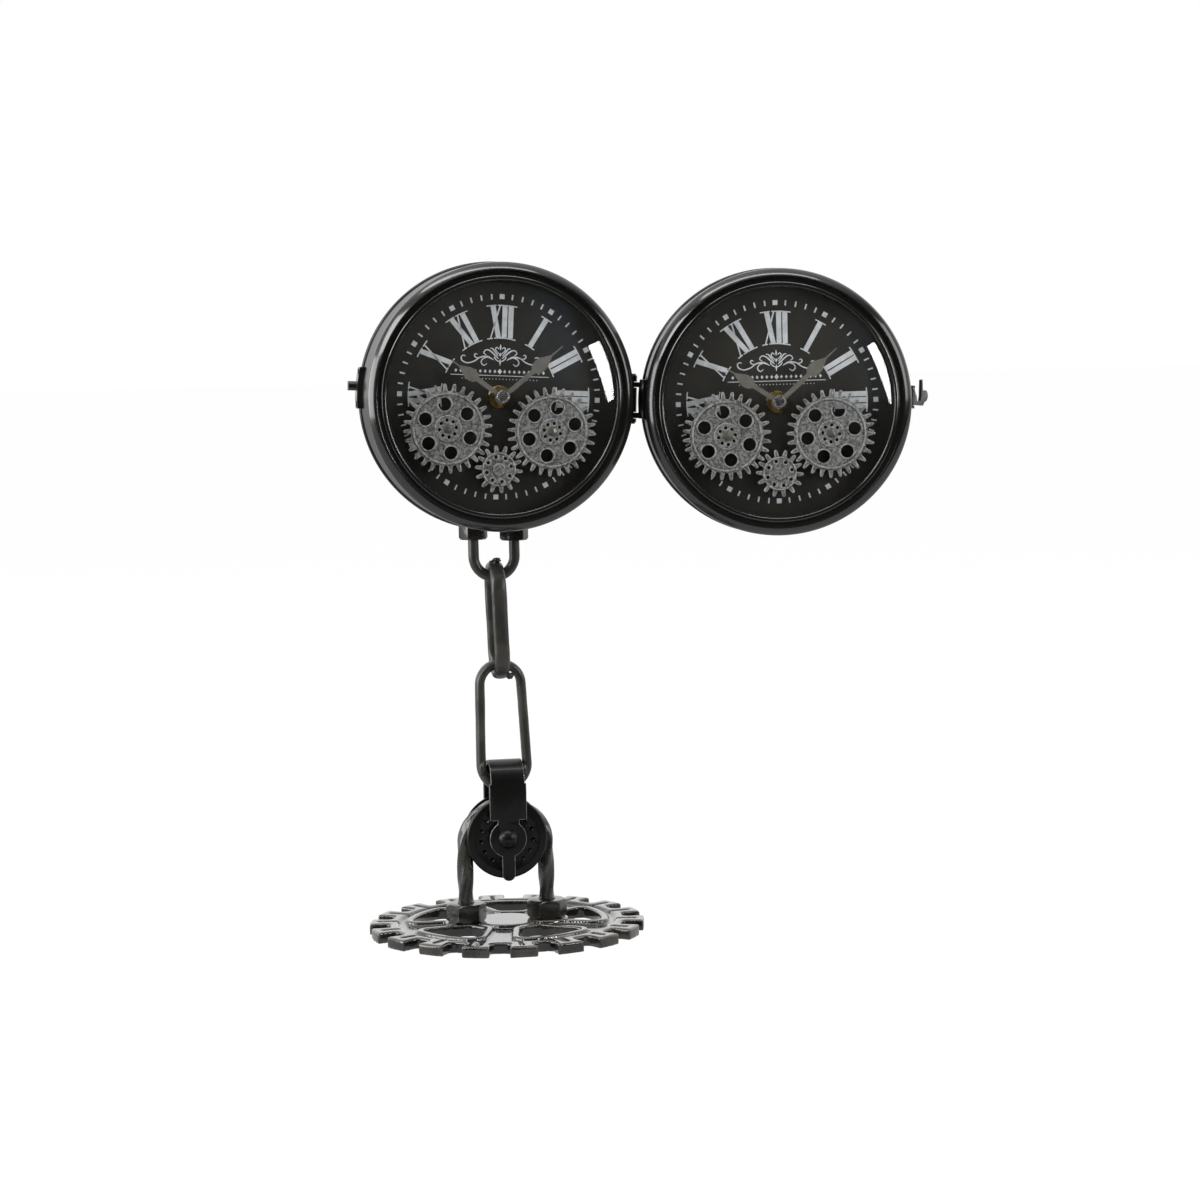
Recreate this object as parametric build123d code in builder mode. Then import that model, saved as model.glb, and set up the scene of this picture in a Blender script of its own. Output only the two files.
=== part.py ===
"""Two round drum clocks, hinged side by side on a welded chain stand with a cast gear base.

Millimetres. The origin is under the middle of the base, +X to the right, +Y to the rear and +Z up.
Depths inside a drum are counted forward from its rear plane.
"""

from build123d import *
from math import sqrt
import os

os.makedirs("parts", exist_ok=True)

# Clearances
fit_gap = 0.1
running_gap = 0.05
moving_gap = 0.3

# Base
base_tip_radius = 94.0
base_root_radius = 80.0
base_teeth = 18
base_tooth_angle = 8.1
base_web = 5.0
base_rim = 7.5
base_slot_width = 13.5
base_slot_round = 3.5
base_lip_radius = 74.5
base_finger_width = 2.6
base_finger_end = 89.0
base_hub_radius = 22.0
window_count = 5
window_angle = 4.0
window_inner = 30.0
window_outer = 59.5
window_inner_width = 15.0
window_outer_width = 52.0
window_round = 5.0
window_bulge = 5.0
window_lip = 4.6
window_lip_rise = 3.0

# Arch, nuts and pulley
arch_bar = 11.5
arch_half_span = 28.0
arch_centre_height = 59.0
arch_foot = 1.5
base_nut_flats = 24.0
base_nut_height = 12.5
base_boss_radius = 14.6
wheel_height = 65.6
wheel_radius = 27.7
wheel_core_radius = 15.4
wheel_half_width = 10.5
wheel_groove_half = 6.4
wheel_hub_radius = 12.0
wheel_hub_rise = 1.2
wheel_ring_radius = 22.6
wheel_ring_step = 0.8
wheel_hole_radius = 1.4
wheel_hole_circle = 18.0
wheel_hole_count = 15
axle_radius = 4.0
rivet_radius = 7.0
rivet_rise = 4.6

# Strap
strap_x = 0.5
strap_width = 25.4
strap_throat_width = 23.2
strap_thickness = 3.0
strap_half_space = 15.0
strap_top = 118.4
strap_shoulder = 78.4
strap_neck_width = 15.0
strap_boss_radius = 12.7
strap_tongue_width = 9.0
strap_tongue_end = 36.7

# Links
link_width = 38.4
link_bar_in_plane = 6.8
link_bar_across = 10.6
lower_link_x = 0.9
lower_link_bottom = 96.0
lower_link_top = 187.6
lower_link_lean = -1.3
upper_link_x = -0.7
upper_link_bottom = 173.6
upper_link_top = 254.4
upper_link_lean = -1.7

# U-bolt under the left drum
u_bolt_x = -3.0
u_bolt_rod = 7.4
u_bolt_half_span = 14.0
u_bolt_bottom = 240.0
u_bolt_top = 289.5
u_nut_flats = 17.0
u_nut_height = 8.0

# Where the clocks stand
axis_x = 1.0
axis_height = 365.4
rear_y = 20.0
pair_tilt = 2.3
fold_angle = 9.0
pin_reach = 97.5
pin_back = 0.6
left_dial_roll = 0.9
right_dial_roll = -2.6

# Drum
band_radius = 89.8
band_wall = 1.8
band_front = 44.0
rim_radius = 91.5
rim_bead = 1.8
flange_inner = 84.3
flange_thickness = 1.4
ledge_inner = 83.5
ledge_thickness = 1.5
dial_front = 32.0
dial_thickness = 1.2
cover_rear = 4.0
cover_thickness = 1.5

# Bezel and glass
bezel_radius = 88.3
bezel_crest = 48.0
bezel_inner = 79.2
bezel_seat_outer = 86.9
bezel_seat_inner = 84.6
glass_edge_radius = 80.6
glass_apex = 57.6
glass_rise = 12.0
glass_thickness = 2.0
gasket_front = 45.6
bezel_underside = 45.7
bezel_step = 1.2
bezel_side = 2.0
bezel_crest_radius = 86.2
bezel_valley_radius = 82.8
bezel_valley_rise = 1.1
bezel_bead_radius = 81.0
bezel_bead_rise = 1.9
bezel_edge_rise = 0.7

# Dial train, in the dial's own frame
big_gear_x = 35.2
big_gear_z = -22.0
small_gear_z = -48.1
gear_back = 39.5
gear_thickness = 3.6
gear_recess = 0.9
big_teeth = 28
big_tip = 30.1
big_root = 25.0
big_ridge = 23.3
big_ridge_width = 1.6
big_hole_radius = 4.4
big_hole_circle = 16.3
big_hole_count = 6
hole_lip = 1.1
hub_disc_radius = 9.0
pin_hole_radius = 1.25
pin_hole_circle = 5.7
pin_hole_count = 8
small_teeth = 14
small_tip = 16.2
small_root = 11.6
small_disc_radius = 11.4
small_hole_circle = 8.5
tooth_base = 3.3
tooth_tip = 1.2
big_tooth_lag = 3.48
small_hole_lead = 14.4
small_hole_depth = 1.2
post_radius = 3.0
post_collar = 4.6
post_rise = 1.6
post_round = 1.4
post_flange = 2.0
long_post_rise = 0.4
short_post_drop = 1.2
left_gear_angles = (99.0, 79.6, 150.6)
right_gear_angles = (98.0, 130.7, 151.1)

# Hands
hand_hour = 10
hand_minute = 8
hour_length = 42.0
hour_width = 8.6
minute_width = 9.2
hand_bar = 3.2
hand_needle = 1.1
hand_swell_place = 0.62
hand_neck = 0.65
hand_flare = 0.5
hand_shoulder = 0.38
hand_belly = 0.1
hand_brow = 0.3
hand_brow_inset = 0.4
hand_point = 1.1
minute_length = 53.0
hour_depth = 46.8
minute_depth = 48.8
hand_thickness = 0.7
hour_tube_radius = 2.9
minute_arbor_radius = 1.6
hub_cap_radius = 4.0
hub_cap_rise = 0.6
hand_boss_radius = 5.2
bushing_radius = 4.0
hand_nut_radius = 7.6
hand_nut_height = 2.6

# Movement, gear motor and cells
movement_size = 56.0
movement_thickness = 16.4
cell_radius = 7.1
cell_length = 50.0
cell_cap_radius = 2.7
cell_cap_length = 1.2
bay_clearance = 0.3
knob_radius = 5.5
knob_height = 4.0
knob_shaft_radius = 2.0
knob_shaft_length = 3.0
knob_groove = 0.7
knob_groove_count = 12
knob_place = (17.0, 17.0)
motor_width = 32.0
motor_height = 56.0
motor_thickness = 17.0
motor_centre = (-45.2, -12.0)
motor_cell_x = -52.5
drive_arbor_radius = 3.4
drive_arbor_end = 27.0
switch_place = (-37.0, 6.0)
switch_travel = 4.0
switch_width = 3.0
switch_length = 4.0
switch_depth = 2.0
switch_rise = 1.5
bushing_rise = 1.2
hand_nut_notch = (1.6, 2.2)

# Back cover
cover_window = 58.5
cover_screw_circle = 86.0
cover_screw_count = 6
screw_radius = 1.3
screw_head_radius = 1.75
screw_head_rise = 1.0

# Hinge
hinge_height = 32.2
hinge_breaks = (11.6, 7.9, -9.3, -13.4)
barrel_radius = 3.5
hinge_pin_radius = 1.6
hinge_head_radius = 2.7
hinge_head_height = 1.1
leaf_thickness = 2.0
leaf_arm_thickness = 1.6
right_leaf_height = 26.8
left_leaf_depth = 20.0
right_leaf_depth = 38.0
rim_depth = 3.7

# Latch
latch_plate_thickness = 3.6
latch_plate_depth = 13.0
catch_low = -9.6
catch_high = 18.4
stud_height = 5.6
stud_depth = 4.1
stud_radius = 3.2
stud_reach = 98.9
latch_screw_radius = 2.3
latch_screw_length = 3.0
latch_screw_inset = 3.2
latch_screw_depth = 8.8
latch_screw_sink = 0.9
hook_plate_low = -11.5
hook_plate_high = 21.0
hook_pin_radius = 0.9
hook_pin_reach = 95.75
hook_pin_depth = 3.2
hook_knuckle_radius = 1.9
hook_knuckle_low = -0.8
hook_knuckle_high = 10.4
hook_ear = 2.0
hook_thickness = 2.2
hook_rest_swing = 55.0
hook_mouth_centre = 8.5
hook_mouth_half = 3.5
hook_arm_low = -1.2
hook_arm_high = 2.1
hook_ball_place = (17.8, 5.6)
hook_ball_radius = 4.0
hook_mouth_corner = 2.4
hook_floor_corner = 1.0
hook_prong_top = 17.0
hook_prong_back = 1.2
hook_elbow = 3.0
hook_inset = 0.6

# Derived places
profile_plane = Plane(origin=(0, 0, 0), x_dir=(1, 0, 0), z_dir=(0, 0, -1))
left_place = Location((axis_x, rear_y, axis_height), (0, pair_tilt, 0))
pin_place = left_place * Location((pin_reach, pin_back, 0))
right_place = pin_place * Location((0, 0, 0), (0, 0, -fold_angle)) * Location((pin_reach, -pin_back, 0))
band_inner = band_radius - band_wall
dial_rear = dial_front - dial_thickness
cover_seat = cover_rear + cover_thickness
gear_front = gear_back + gear_thickness
tight_radius = band_inner - fit_gap
wheel_plane = Plane(origin=(0, 0, wheel_height), x_dir=(1, 0, 0), z_dir=(0, -1, 0))


def across(depth):
    """The plane square to the drum's axis, the given depth in front of the rear plane."""
    return Plane.XZ.offset(depth)


def save(part, label):
    """Labels a finished piece and writes it under that name."""
    part.label = label
    export_step(part, f"parts/{label}.step")


def ring(outer, inner, start, end):
    """A round ring about the drum's axis, between two depths."""
    with BuildPart() as piece:
        with BuildSketch(across(start)):
            Circle(outer)
            Circle(inner, mode=Mode.SUBTRACT)
        extrude(amount=end - start)
    return piece.part


def hexagon_nut(flats, bore, height):
    """A hex nut standing on the origin, with its top and bottom corners rounded off by cones."""
    corner = flats / sqrt(3)
    with BuildPart() as piece:
        with BuildSketch():
            RegularPolygon(corner, 6)
            Circle(bore, mode=Mode.SUBTRACT)
        extrude(amount=height)
        with BuildSketch(Plane.XZ):
            with BuildLine():
                Polyline(
                    (0, 0),
                    (flats / 2, 0),
                    (corner, corner - flats / 2),
                    (corner, height - corner + flats / 2),
                    (flats / 2, height),
                    (0, height),
                    close=True,
                )
            make_face()
        revolve(axis=Axis.Z, mode=Mode.INTERSECT)
    return piece.part


# Base gear
with BuildSketch() as window_shape:
    with BuildLine():
        corner = (window_outer, window_outer_width / 2)
        Polyline(
            (corner[0], -corner[1]),
            (window_inner, -window_inner_width / 2),
            (window_inner, window_inner_width / 2),
            corner,
        )
        ThreePointArc(corner, (window_outer + window_bulge, 0), (corner[0], -corner[1]))
    make_face()
    fillet(window_shape.vertices(), window_round)
with BuildPart() as base_gear:
    with BuildSketch():
        Circle(base_tip_radius)
        slot_length = base_tip_radius - base_root_radius + base_slot_round
        with PolarLocations(
            base_root_radius + slot_length / 2, base_teeth, start_angle=base_tooth_angle + 180 / base_teeth
        ):
            RectangleRounded(
                slot_length, base_slot_width, base_slot_round, mode=Mode.SUBTRACT
            )
        with PolarLocations(
            base_tip_radius + base_slot_round, base_teeth, start_angle=base_tooth_angle + 180 / base_teeth
        ):
            Rectangle(4 * base_slot_round, base_slot_width, mode=Mode.SUBTRACT)
    extrude(amount=base_rim)
    with BuildSketch(Plane.XY.offset(base_web)):
        Circle(base_lip_radius)
        finger_length = base_finger_end - base_lip_radius + base_finger_width
        finger_middle = base_lip_radius + finger_length / 2 - base_finger_width
        with PolarLocations(finger_middle, base_teeth, start_angle=base_tooth_angle):
            SlotOverall(finger_length, base_finger_width)
        Circle(base_hub_radius, mode=Mode.SUBTRACT)
    extrude(amount=base_rim, mode=Mode.SUBTRACT)
    with BuildSketch(Plane.XY.offset(base_web)):
        with PolarLocations(0, window_count, start_angle=window_angle):
            add(offset(window_shape.sketch, amount=window_lip, mode=Mode.PRIVATE))
        with Locations((-arch_half_span, 0), (arch_half_span, 0)):
            Circle(base_boss_radius)
        Circle(base_hub_radius)
    extrude(amount=window_lip_rise)
    with BuildSketch():
        with PolarLocations(0, window_count, start_angle=window_angle):
            add(window_shape.sketch)
        with Locations((-arch_half_span, 0), (arch_half_span, 0)):
            Circle(base_boss_radius, mode=Mode.SUBTRACT)
    extrude(amount=base_web + 2 * window_lip_rise, mode=Mode.SUBTRACT)
    with BuildSketch(Plane.XY.offset(arch_foot - fit_gap)):
        with Locations((-arch_half_span, 0), (arch_half_span, 0)):
            Circle(arch_bar / 2 + fit_gap)
    extrude(amount=base_rim + window_lip_rise, mode=Mode.SUBTRACT)
save(base_gear.part, "base_gear")
base_top = base_web + window_lip_rise

# Nuts on the base
with BuildPart() as base_nuts:
    with Locations((-arch_half_span, 0, base_top), (arch_half_span, 0, base_top)):
        add(hexagon_nut(base_nut_flats, arch_bar / 2 + fit_gap, base_nut_height))
save(base_nuts.part, "base_nuts")

# Arch of round bar
with BuildPart() as twisted_arch:
    with BuildLine() as arch_path:
        left_leg = Line((-arch_half_span, 0, arch_foot), (-arch_half_span, 0, arch_centre_height))
        crown = ThreePointArc(
            left_leg @ 1,
            (0, 0, arch_centre_height + arch_half_span),
            (arch_half_span, 0, arch_centre_height),
        )
        Line(crown @ 1, (arch_half_span, 0, arch_foot))
    with BuildSketch(Plane.XY.offset(arch_foot)):
        with Locations((-arch_half_span, 0)):
            Circle(arch_bar / 2)
    sweep(path=arch_path.wire())
save(twisted_arch.part, "twisted_arch")

# Pulley wheel
with BuildPart() as pulley_wheel:
    with BuildSketch(Plane(origin=(0, 0, wheel_height), x_dir=(1, 0, 0), z_dir=(0, 0, -1))):
        with BuildLine():
            Polyline(
                (axle_radius + running_gap, -wheel_half_width - wheel_hub_rise),
                (wheel_hub_radius, -wheel_half_width - wheel_hub_rise),
                (wheel_hub_radius, -wheel_half_width + wheel_ring_step),
                (wheel_ring_radius, -wheel_half_width + wheel_ring_step),
                (wheel_ring_radius, -wheel_half_width),
                (wheel_radius - 1.0, -wheel_half_width),
                (wheel_radius, -wheel_half_width + 1.0),
                (wheel_radius, -wheel_groove_half - 1.0),
                (wheel_core_radius, -wheel_groove_half),
                (wheel_core_radius, wheel_groove_half),
                (wheel_radius, wheel_groove_half + 1.0),
                (wheel_radius, wheel_half_width - 1.0),
                (wheel_radius - 1.0, wheel_half_width),
                (wheel_ring_radius, wheel_half_width),
                (wheel_ring_radius, wheel_half_width - wheel_ring_step),
                (wheel_hub_radius, wheel_half_width - wheel_ring_step),
                (wheel_hub_radius, wheel_half_width + wheel_hub_rise),
                (axle_radius + running_gap, wheel_half_width + wheel_hub_rise),
                close=True,
            )
        make_face()
    revolve(axis=Axis((0, 0, wheel_height), (0, 1, 0)))
    with BuildSketch(wheel_plane.offset(-2 * wheel_half_width)):
        with PolarLocations(wheel_hole_circle, wheel_hole_count, start_angle=90):
            Circle(wheel_hole_radius)
    extrude(amount=4 * wheel_half_width, mode=Mode.SUBTRACT)
save(pulley_wheel.part, "pulley_wheel")

# Strap, bent over the lower link and down both sides of the wheel
strap_bend_height = strap_top - strap_half_space
strap_inner = strap_half_space - strap_thickness
with BuildPart() as pulley_strap:
    with BuildSketch(Plane.YZ.offset(-strap_width)):
        with Locations((0, strap_bend_height)):
            Circle(strap_half_space)
            Circle(strap_inner, mode=Mode.SUBTRACT)
        with Locations((0, strap_bend_height - strap_half_space)):
            Rectangle(2 * strap_half_space, 2 * strap_half_space, mode=Mode.SUBTRACT)
        leg_height = strap_bend_height
        with Locations(
            (strap_half_space - strap_thickness / 2, leg_height / 2),
            (-strap_half_space + strap_thickness / 2, leg_height / 2),
        ):
            Rectangle(strap_thickness, leg_height)
    extrude(amount=2 * strap_width + strap_x)
    with BuildSketch(Plane.XZ.offset(2 * strap_half_space)):
        with Locations((strap_x, (strap_top + strap_shoulder) / 2)):
            Rectangle(strap_throat_width, strap_top - strap_shoulder)
        with Locations((strap_x, (strap_bend_height + strap_shoulder) / 2)):
            Rectangle(strap_width, strap_bend_height - strap_shoulder)
        with Locations((strap_x, (strap_shoulder + wheel_height) / 2)):
            Rectangle(strap_neck_width, strap_shoulder - wheel_height)
        with Locations((0, wheel_height)):
            Circle(strap_boss_radius)
        with Locations((0, (wheel_height + strap_tongue_end + strap_tongue_width / 2) / 2)):
            Rectangle(strap_tongue_width, wheel_height - strap_tongue_end - strap_tongue_width / 2)
        with Locations((0, strap_tongue_end + strap_tongue_width / 2)):
            Circle(strap_tongue_width / 2)
        with Locations((0, wheel_height)):
            Circle(axle_radius + fit_gap, mode=Mode.SUBTRACT)
    extrude(amount=-4 * strap_half_space, mode=Mode.INTERSECT)
save(pulley_strap.part, "pulley_strap")

# Axle with a dome at each end
dome_sphere = (rivet_radius**2 + rivet_rise**2) / (2 * rivet_rise)
with BuildPart() as pulley_axle:
    with BuildSketch(wheel_plane.offset(-strap_half_space)):
        Circle(axle_radius)
    extrude(amount=2 * strap_half_space)
    for side in (-1, 1):
        with BuildSketch(Plane(origin=(0, 0, wheel_height), x_dir=(1, 0, 0), z_dir=(0, 0, -1))):
            with BuildLine():
                flat = Line((0, side * strap_half_space), (rivet_radius, side * strap_half_space))
                half_way = rivet_radius / 2
                sag = dome_sphere - sqrt(dome_sphere**2 - half_way**2)
                ThreePointArc(
                    flat @ 1,
                    (half_way, side * (strap_half_space + rivet_rise - sag)),
                    (0, side * (strap_half_space + rivet_rise)),
                )
                Line((0, side * (strap_half_space + rivet_rise)), flat @ 0)
            make_face()
        revolve(axis=Axis((0, 0, wheel_height), (0, 1, 0)))
save(pulley_axle.part, "pulley_axle")


def chain_link(length):
    """A long link standing on the origin in the XZ plane, swept from an oval bar."""
    bend = (link_width - link_bar_in_plane) / 2
    low = link_bar_in_plane / 2 + bend
    high = length - low
    with BuildPart() as piece:
        with BuildLine() as path:
            up = Line((-bend, 0, low), (-bend, 0, high))
            over = ThreePointArc(up @ 1, (0, 0, high + bend), (bend, 0, high))
            down = Line(over @ 1, (bend, 0, low))
            ThreePointArc(down @ 1, (0, 0, low - bend), up @ 0)
        with BuildSketch(Plane.XY.offset(low)):
            with Locations((-bend, 0)):
                Ellipse(link_bar_in_plane / 2, link_bar_across / 2)
        sweep(path=path.wire())
    return piece.part


# Chain links
lower_link = chain_link(lower_link_top - lower_link_bottom)
lower_spot = Location((lower_link_x, 0, lower_link_bottom), (0, lower_link_lean, 0))
save(lower_link.moved(lower_spot), "lower_link")
upper_link = chain_link(upper_link_top - upper_link_bottom)
upper_turn = Location((0, 0, 0), (0, 0, 90))
upper_spot = Location((upper_link_x, 0, upper_link_bottom), (0, upper_link_lean, 0)) * upper_turn
save(upper_link.moved(upper_spot), "upper_link")

# U-bolt
with BuildPart() as top_u_bolt:
    bend_height = u_bolt_bottom + u_bolt_rod / 2 + u_bolt_half_span
    with BuildLine() as bolt_path:
        first = Line(
            (u_bolt_x - u_bolt_half_span, 0, u_bolt_top), (u_bolt_x - u_bolt_half_span, 0, bend_height)
        )
        under = ThreePointArc(
            first @ 1,
            (u_bolt_x, 0, bend_height - u_bolt_half_span),
            (u_bolt_x + u_bolt_half_span, 0, bend_height),
        )
        Line(under @ 1, (u_bolt_x + u_bolt_half_span, 0, u_bolt_top))
    with BuildSketch(Plane.XY.offset(u_bolt_top)):
        with Locations((u_bolt_x - u_bolt_half_span, 0)):
            Circle(u_bolt_rod / 2)
    sweep(path=bolt_path.wire())
save(top_u_bolt.part, "top_u_bolt")

# Nuts outside and inside the band, each with a saddle that follows the band
with BuildPart() as u_bolt_nuts:
    for side in (-1, 1):
        leg_x = u_bolt_x + side * u_bolt_half_span
        leg_offset = leg_x - axis_x
        outer_high = axis_height - sqrt(band_radius**2 - (abs(leg_offset) + u_nut_flats / 2) ** 2)
        outer_low = axis_height - sqrt(band_radius**2 - leg_offset**2) - u_nut_height
        inner_low = axis_height - sqrt(band_inner**2 - leg_offset**2)
        inner_high = axis_height - sqrt(band_inner**2 - (abs(leg_offset) + u_nut_flats / 2) ** 2)
        outer_height = outer_high - outer_low + u_nut_height / 4
        with Locations((leg_x, 0, outer_low)):
            add(hexagon_nut(u_nut_flats, u_bolt_rod / 2 + fit_gap, outer_height))
        with Locations((leg_x, 0, inner_low - u_nut_height / 4)):
            add(hexagon_nut(u_nut_flats, u_bolt_rod / 2 + fit_gap, inner_high - inner_low + u_nut_height))
    saddle_band = ring(band_radius + fit_gap, band_inner - fit_gap, -1.0, band_front).moved(left_place)
    add(saddle_band, mode=Mode.SUBTRACT)
save(u_bolt_nuts.part, "u_bolt_nuts")


def drum_part():
    """Band with a rolled rear rim, a front flange, a dial ledge and a cover ledge."""
    with BuildPart() as piece:
        with BuildSketch(profile_plane):
            with Locations(((band_radius + band_inner) / 2, (band_front + rim_bead) / 2)):
                Rectangle(band_wall, band_front - rim_bead)
            with Locations((rim_radius - rim_bead, rim_bead)):
                Circle(rim_bead)
            with Locations(((flange_inner + band_radius) / 2, band_front - flange_thickness / 2)):
                Rectangle(band_radius - flange_inner, flange_thickness)
            with Locations(((ledge_inner + band_radius) / 2, dial_rear - ledge_thickness / 2)):
                Rectangle(band_radius - ledge_inner, ledge_thickness)
            with Locations(((ledge_inner + band_radius) / 2, cover_seat + ledge_thickness / 2)):
                Rectangle(band_radius - ledge_inner, ledge_thickness)
        revolve(axis=Axis.Y)
        with BuildSketch(across(cover_seat)):
            with PolarLocations(cover_screw_circle, cover_screw_count, start_angle=30):
                Circle(screw_radius + fit_gap)
        extrude(amount=ledge_thickness, mode=Mode.SUBTRACT)
    return piece.part


def bezel_part():
    """Bezel ring with a tall bead outside and a low one at the glass."""
    with BuildPart() as piece:
        with BuildSketch(profile_plane):
            with BuildLine():
                Polyline(
                    (bezel_inner, bezel_underside + bezel_edge_rise),
                    (bezel_inner, bezel_underside),
                    (bezel_seat_inner, bezel_underside),
                    (bezel_seat_inner, band_front),
                    (bezel_seat_outer, band_front),
                    (bezel_seat_outer, band_front + bezel_step),
                    (bezel_radius, band_front + bezel_step),
                    (bezel_radius, band_front + bezel_side),
                )
                ThreePointArc(
                    (bezel_radius, band_front + bezel_side),
                    (bezel_crest_radius, bezel_crest),
                    (bezel_valley_radius, bezel_underside + bezel_valley_rise),
                )
                ThreePointArc(
                    (bezel_valley_radius, bezel_underside + bezel_valley_rise),
                    (bezel_bead_radius, bezel_underside + bezel_bead_rise),
                    (bezel_inner, bezel_underside + bezel_edge_rise),
                )
            make_face()
        revolve(axis=Axis.Y)
    return piece.part


glass_sphere = (bezel_inner**2 + glass_rise**2) / (2 * glass_rise)


def glass_part():
    """Domed glass cut from two spheres of one centre."""
    centre = glass_apex - glass_sphere
    with BuildPart() as piece:
        with BuildSketch(profile_plane):
            with BuildLine():
                edge = glass_edge_radius
                inner_sphere = glass_sphere - glass_thickness
                outer_edge = centre + sqrt(glass_sphere**2 - edge**2)
                inner_edge = centre + sqrt(inner_sphere**2 - edge**2)
                outer_mid = centre + sqrt(glass_sphere**2 - (edge / 2) ** 2)
                inner_mid = centre + sqrt(inner_sphere**2 - (edge / 2) ** 2)
                front = ThreePointArc((0, glass_apex), (edge / 2, outer_mid), (edge, outer_edge))
                rim_line = Line(front @ 1, (edge, inner_edge))
                rear = ThreePointArc(
                    rim_line @ 1, (edge / 2, inner_mid), (0, glass_apex - glass_thickness)
                )
                Line(rear @ 1, front @ 0)
            make_face()
        revolve(axis=Axis.Y)
    return piece.part


def dial_part():
    """Dial plate with holes for the hand bushing, the gear posts and the drive arbor."""
    with BuildPart() as piece:
        with BuildSketch(across(dial_rear)):
            Circle(tight_radius)
            Circle(bushing_radius + fit_gap, mode=Mode.SUBTRACT)
            with Locations((big_gear_x, big_gear_z), (0, small_gear_z)):
                Circle(post_radius + fit_gap, mode=Mode.SUBTRACT)
            with Locations((-big_gear_x, big_gear_z)):
                Circle(drive_arbor_radius + moving_gap, mode=Mode.SUBTRACT)
        extrude(amount=dial_thickness)
    return piece.part


def gear_posts_part():
    """Two fixed posts: a long one through the right gear, and a short one in the small gear."""
    long_end = gear_front + long_post_rise
    short_end = gear_front - short_post_drop
    with BuildPart() as piece:
        for centre, end in (((big_gear_x, big_gear_z), long_end), ((0, small_gear_z), short_end)):
            with BuildSketch(across(dial_rear - post_flange)):
                with Locations(centre):
                    Circle(post_collar)
            extrude(amount=post_flange)
            with BuildSketch(across(dial_rear)):
                with Locations(centre):
                    Circle(post_radius)
            extrude(amount=end - dial_rear)
            with BuildSketch(across(dial_front)):
                with Locations(centre):
                    Circle(post_collar)
            extrude(amount=gear_back - dial_front - moving_gap)
        tip = piece.faces().sort_by(Axis.Y)[0]
        fillet(tip.edges(), post_round)
    return piece.part


def toothed_disc(root, tip, teeth, lag):
    """A disc with long pointed teeth, the first one a small angle behind +X."""
    with BuildSketch(mode=Mode.PRIVATE) as tooth:
        with BuildLine():
            Polyline(
                (root - 1.0, -tooth_base / 2),
                (tip, -tooth_tip / 2),
                (tip, tooth_tip / 2),
                (root - 1.0, tooth_base / 2),
                close=True,
            )
        make_face()
    with BuildSketch(mode=Mode.PRIVATE) as disc:
        Circle(root)
        with PolarLocations(0, teeth, start_angle=-lag):
            add(tooth.sketch)
    return disc.sketch


def big_gear_part(bore):
    """Big gear about the drum's axis, with the bore, or solid for a fixed arbor when it is 0."""
    with BuildPart() as piece:
        with BuildSketch(across(gear_back)):
            add(toothed_disc(big_root, big_tip, big_teeth, big_tooth_lag))
        extrude(amount=gear_thickness)
        with BuildSketch(across(gear_front - gear_recess)):
            Circle(big_ridge - big_ridge_width / 2)
            Circle(hub_disc_radius, mode=Mode.SUBTRACT)
            with PolarLocations(big_hole_circle, big_hole_count):
                Circle(big_hole_radius + hole_lip, mode=Mode.SUBTRACT)
        extrude(amount=2 * gear_recess, mode=Mode.SUBTRACT)
        with BuildSketch(across(gear_front - gear_recess / 2)):
            Circle(big_tip + 1.0)
            Circle(big_ridge + big_ridge_width / 2, mode=Mode.SUBTRACT)
        extrude(amount=gear_recess, mode=Mode.SUBTRACT)
        with BuildSketch(across(gear_back - 1.0)):
            with PolarLocations(big_hole_circle, big_hole_count):
                Circle(big_hole_radius)
            with PolarLocations(pin_hole_circle, pin_hole_count):
                Circle(pin_hole_radius)
            if bore:
                Circle(bore)
        extrude(amount=gear_thickness + 2.0, mode=Mode.SUBTRACT)
        if not bore:
            with BuildSketch(across(drive_arbor_end)):
                Circle(drive_arbor_radius)
            extrude(amount=gear_back - drive_arbor_end)
            with BuildSketch(across(gear_front)):
                Circle(post_radius)
            extrude(amount=post_rise)
            fillet(piece.faces().sort_by(Axis.Y)[0].edges(), post_round)
    return piece.part


def small_gear_part():
    """Small gear about the drum's axis, with a blind bore for its post."""
    with BuildPart() as piece:
        with BuildSketch(across(gear_back)):
            add(toothed_disc(small_root, small_tip, small_teeth, 0))
        extrude(amount=gear_thickness)
        with BuildSketch(across(gear_front)):
            Circle(small_disc_radius)
            Circle(pin_hole_circle, mode=Mode.SUBTRACT)
        extrude(amount=gear_recess / 2)
        with BuildSketch(across(gear_back)):
            Circle(post_radius + running_gap)
        extrude(amount=gear_front - short_post_drop + moving_gap - gear_back, mode=Mode.SUBTRACT)
        with BuildSketch(across(gear_front - small_hole_depth)):
            with PolarLocations(small_hole_circle, pin_hole_count, start_angle=small_hole_lead):
                Circle(pin_hole_radius)
        extrude(amount=gear_recess + small_hole_depth, mode=Mode.SUBTRACT)
    return piece.part


def hand_outline(length, width):
    """Outline of a hand that points up: a bar, a swelling and a needle."""
    swell = length * hand_swell_place
    half_side = (
        (hand_bar / 2, 0),
        (hand_bar / 2, swell - width * hand_neck),
        (width * hand_shoulder, swell - width * hand_flare),
        (width / 2, swell - width * hand_belly),
        (width / 2 - hand_brow_inset, swell + width * hand_brow),
        (hand_needle / 2, swell + width * hand_point),
        (hand_needle / 3, length - hand_needle / 2),
    )
    with BuildSketch(mode=Mode.PRIVATE) as outline:
        with BuildLine():
            Polyline(
                *half_side,
                (0, length),
                *[(-x, y) for x, y in reversed(half_side)],
                close=True,
            )
        make_face()
    return outline.sketch


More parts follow.
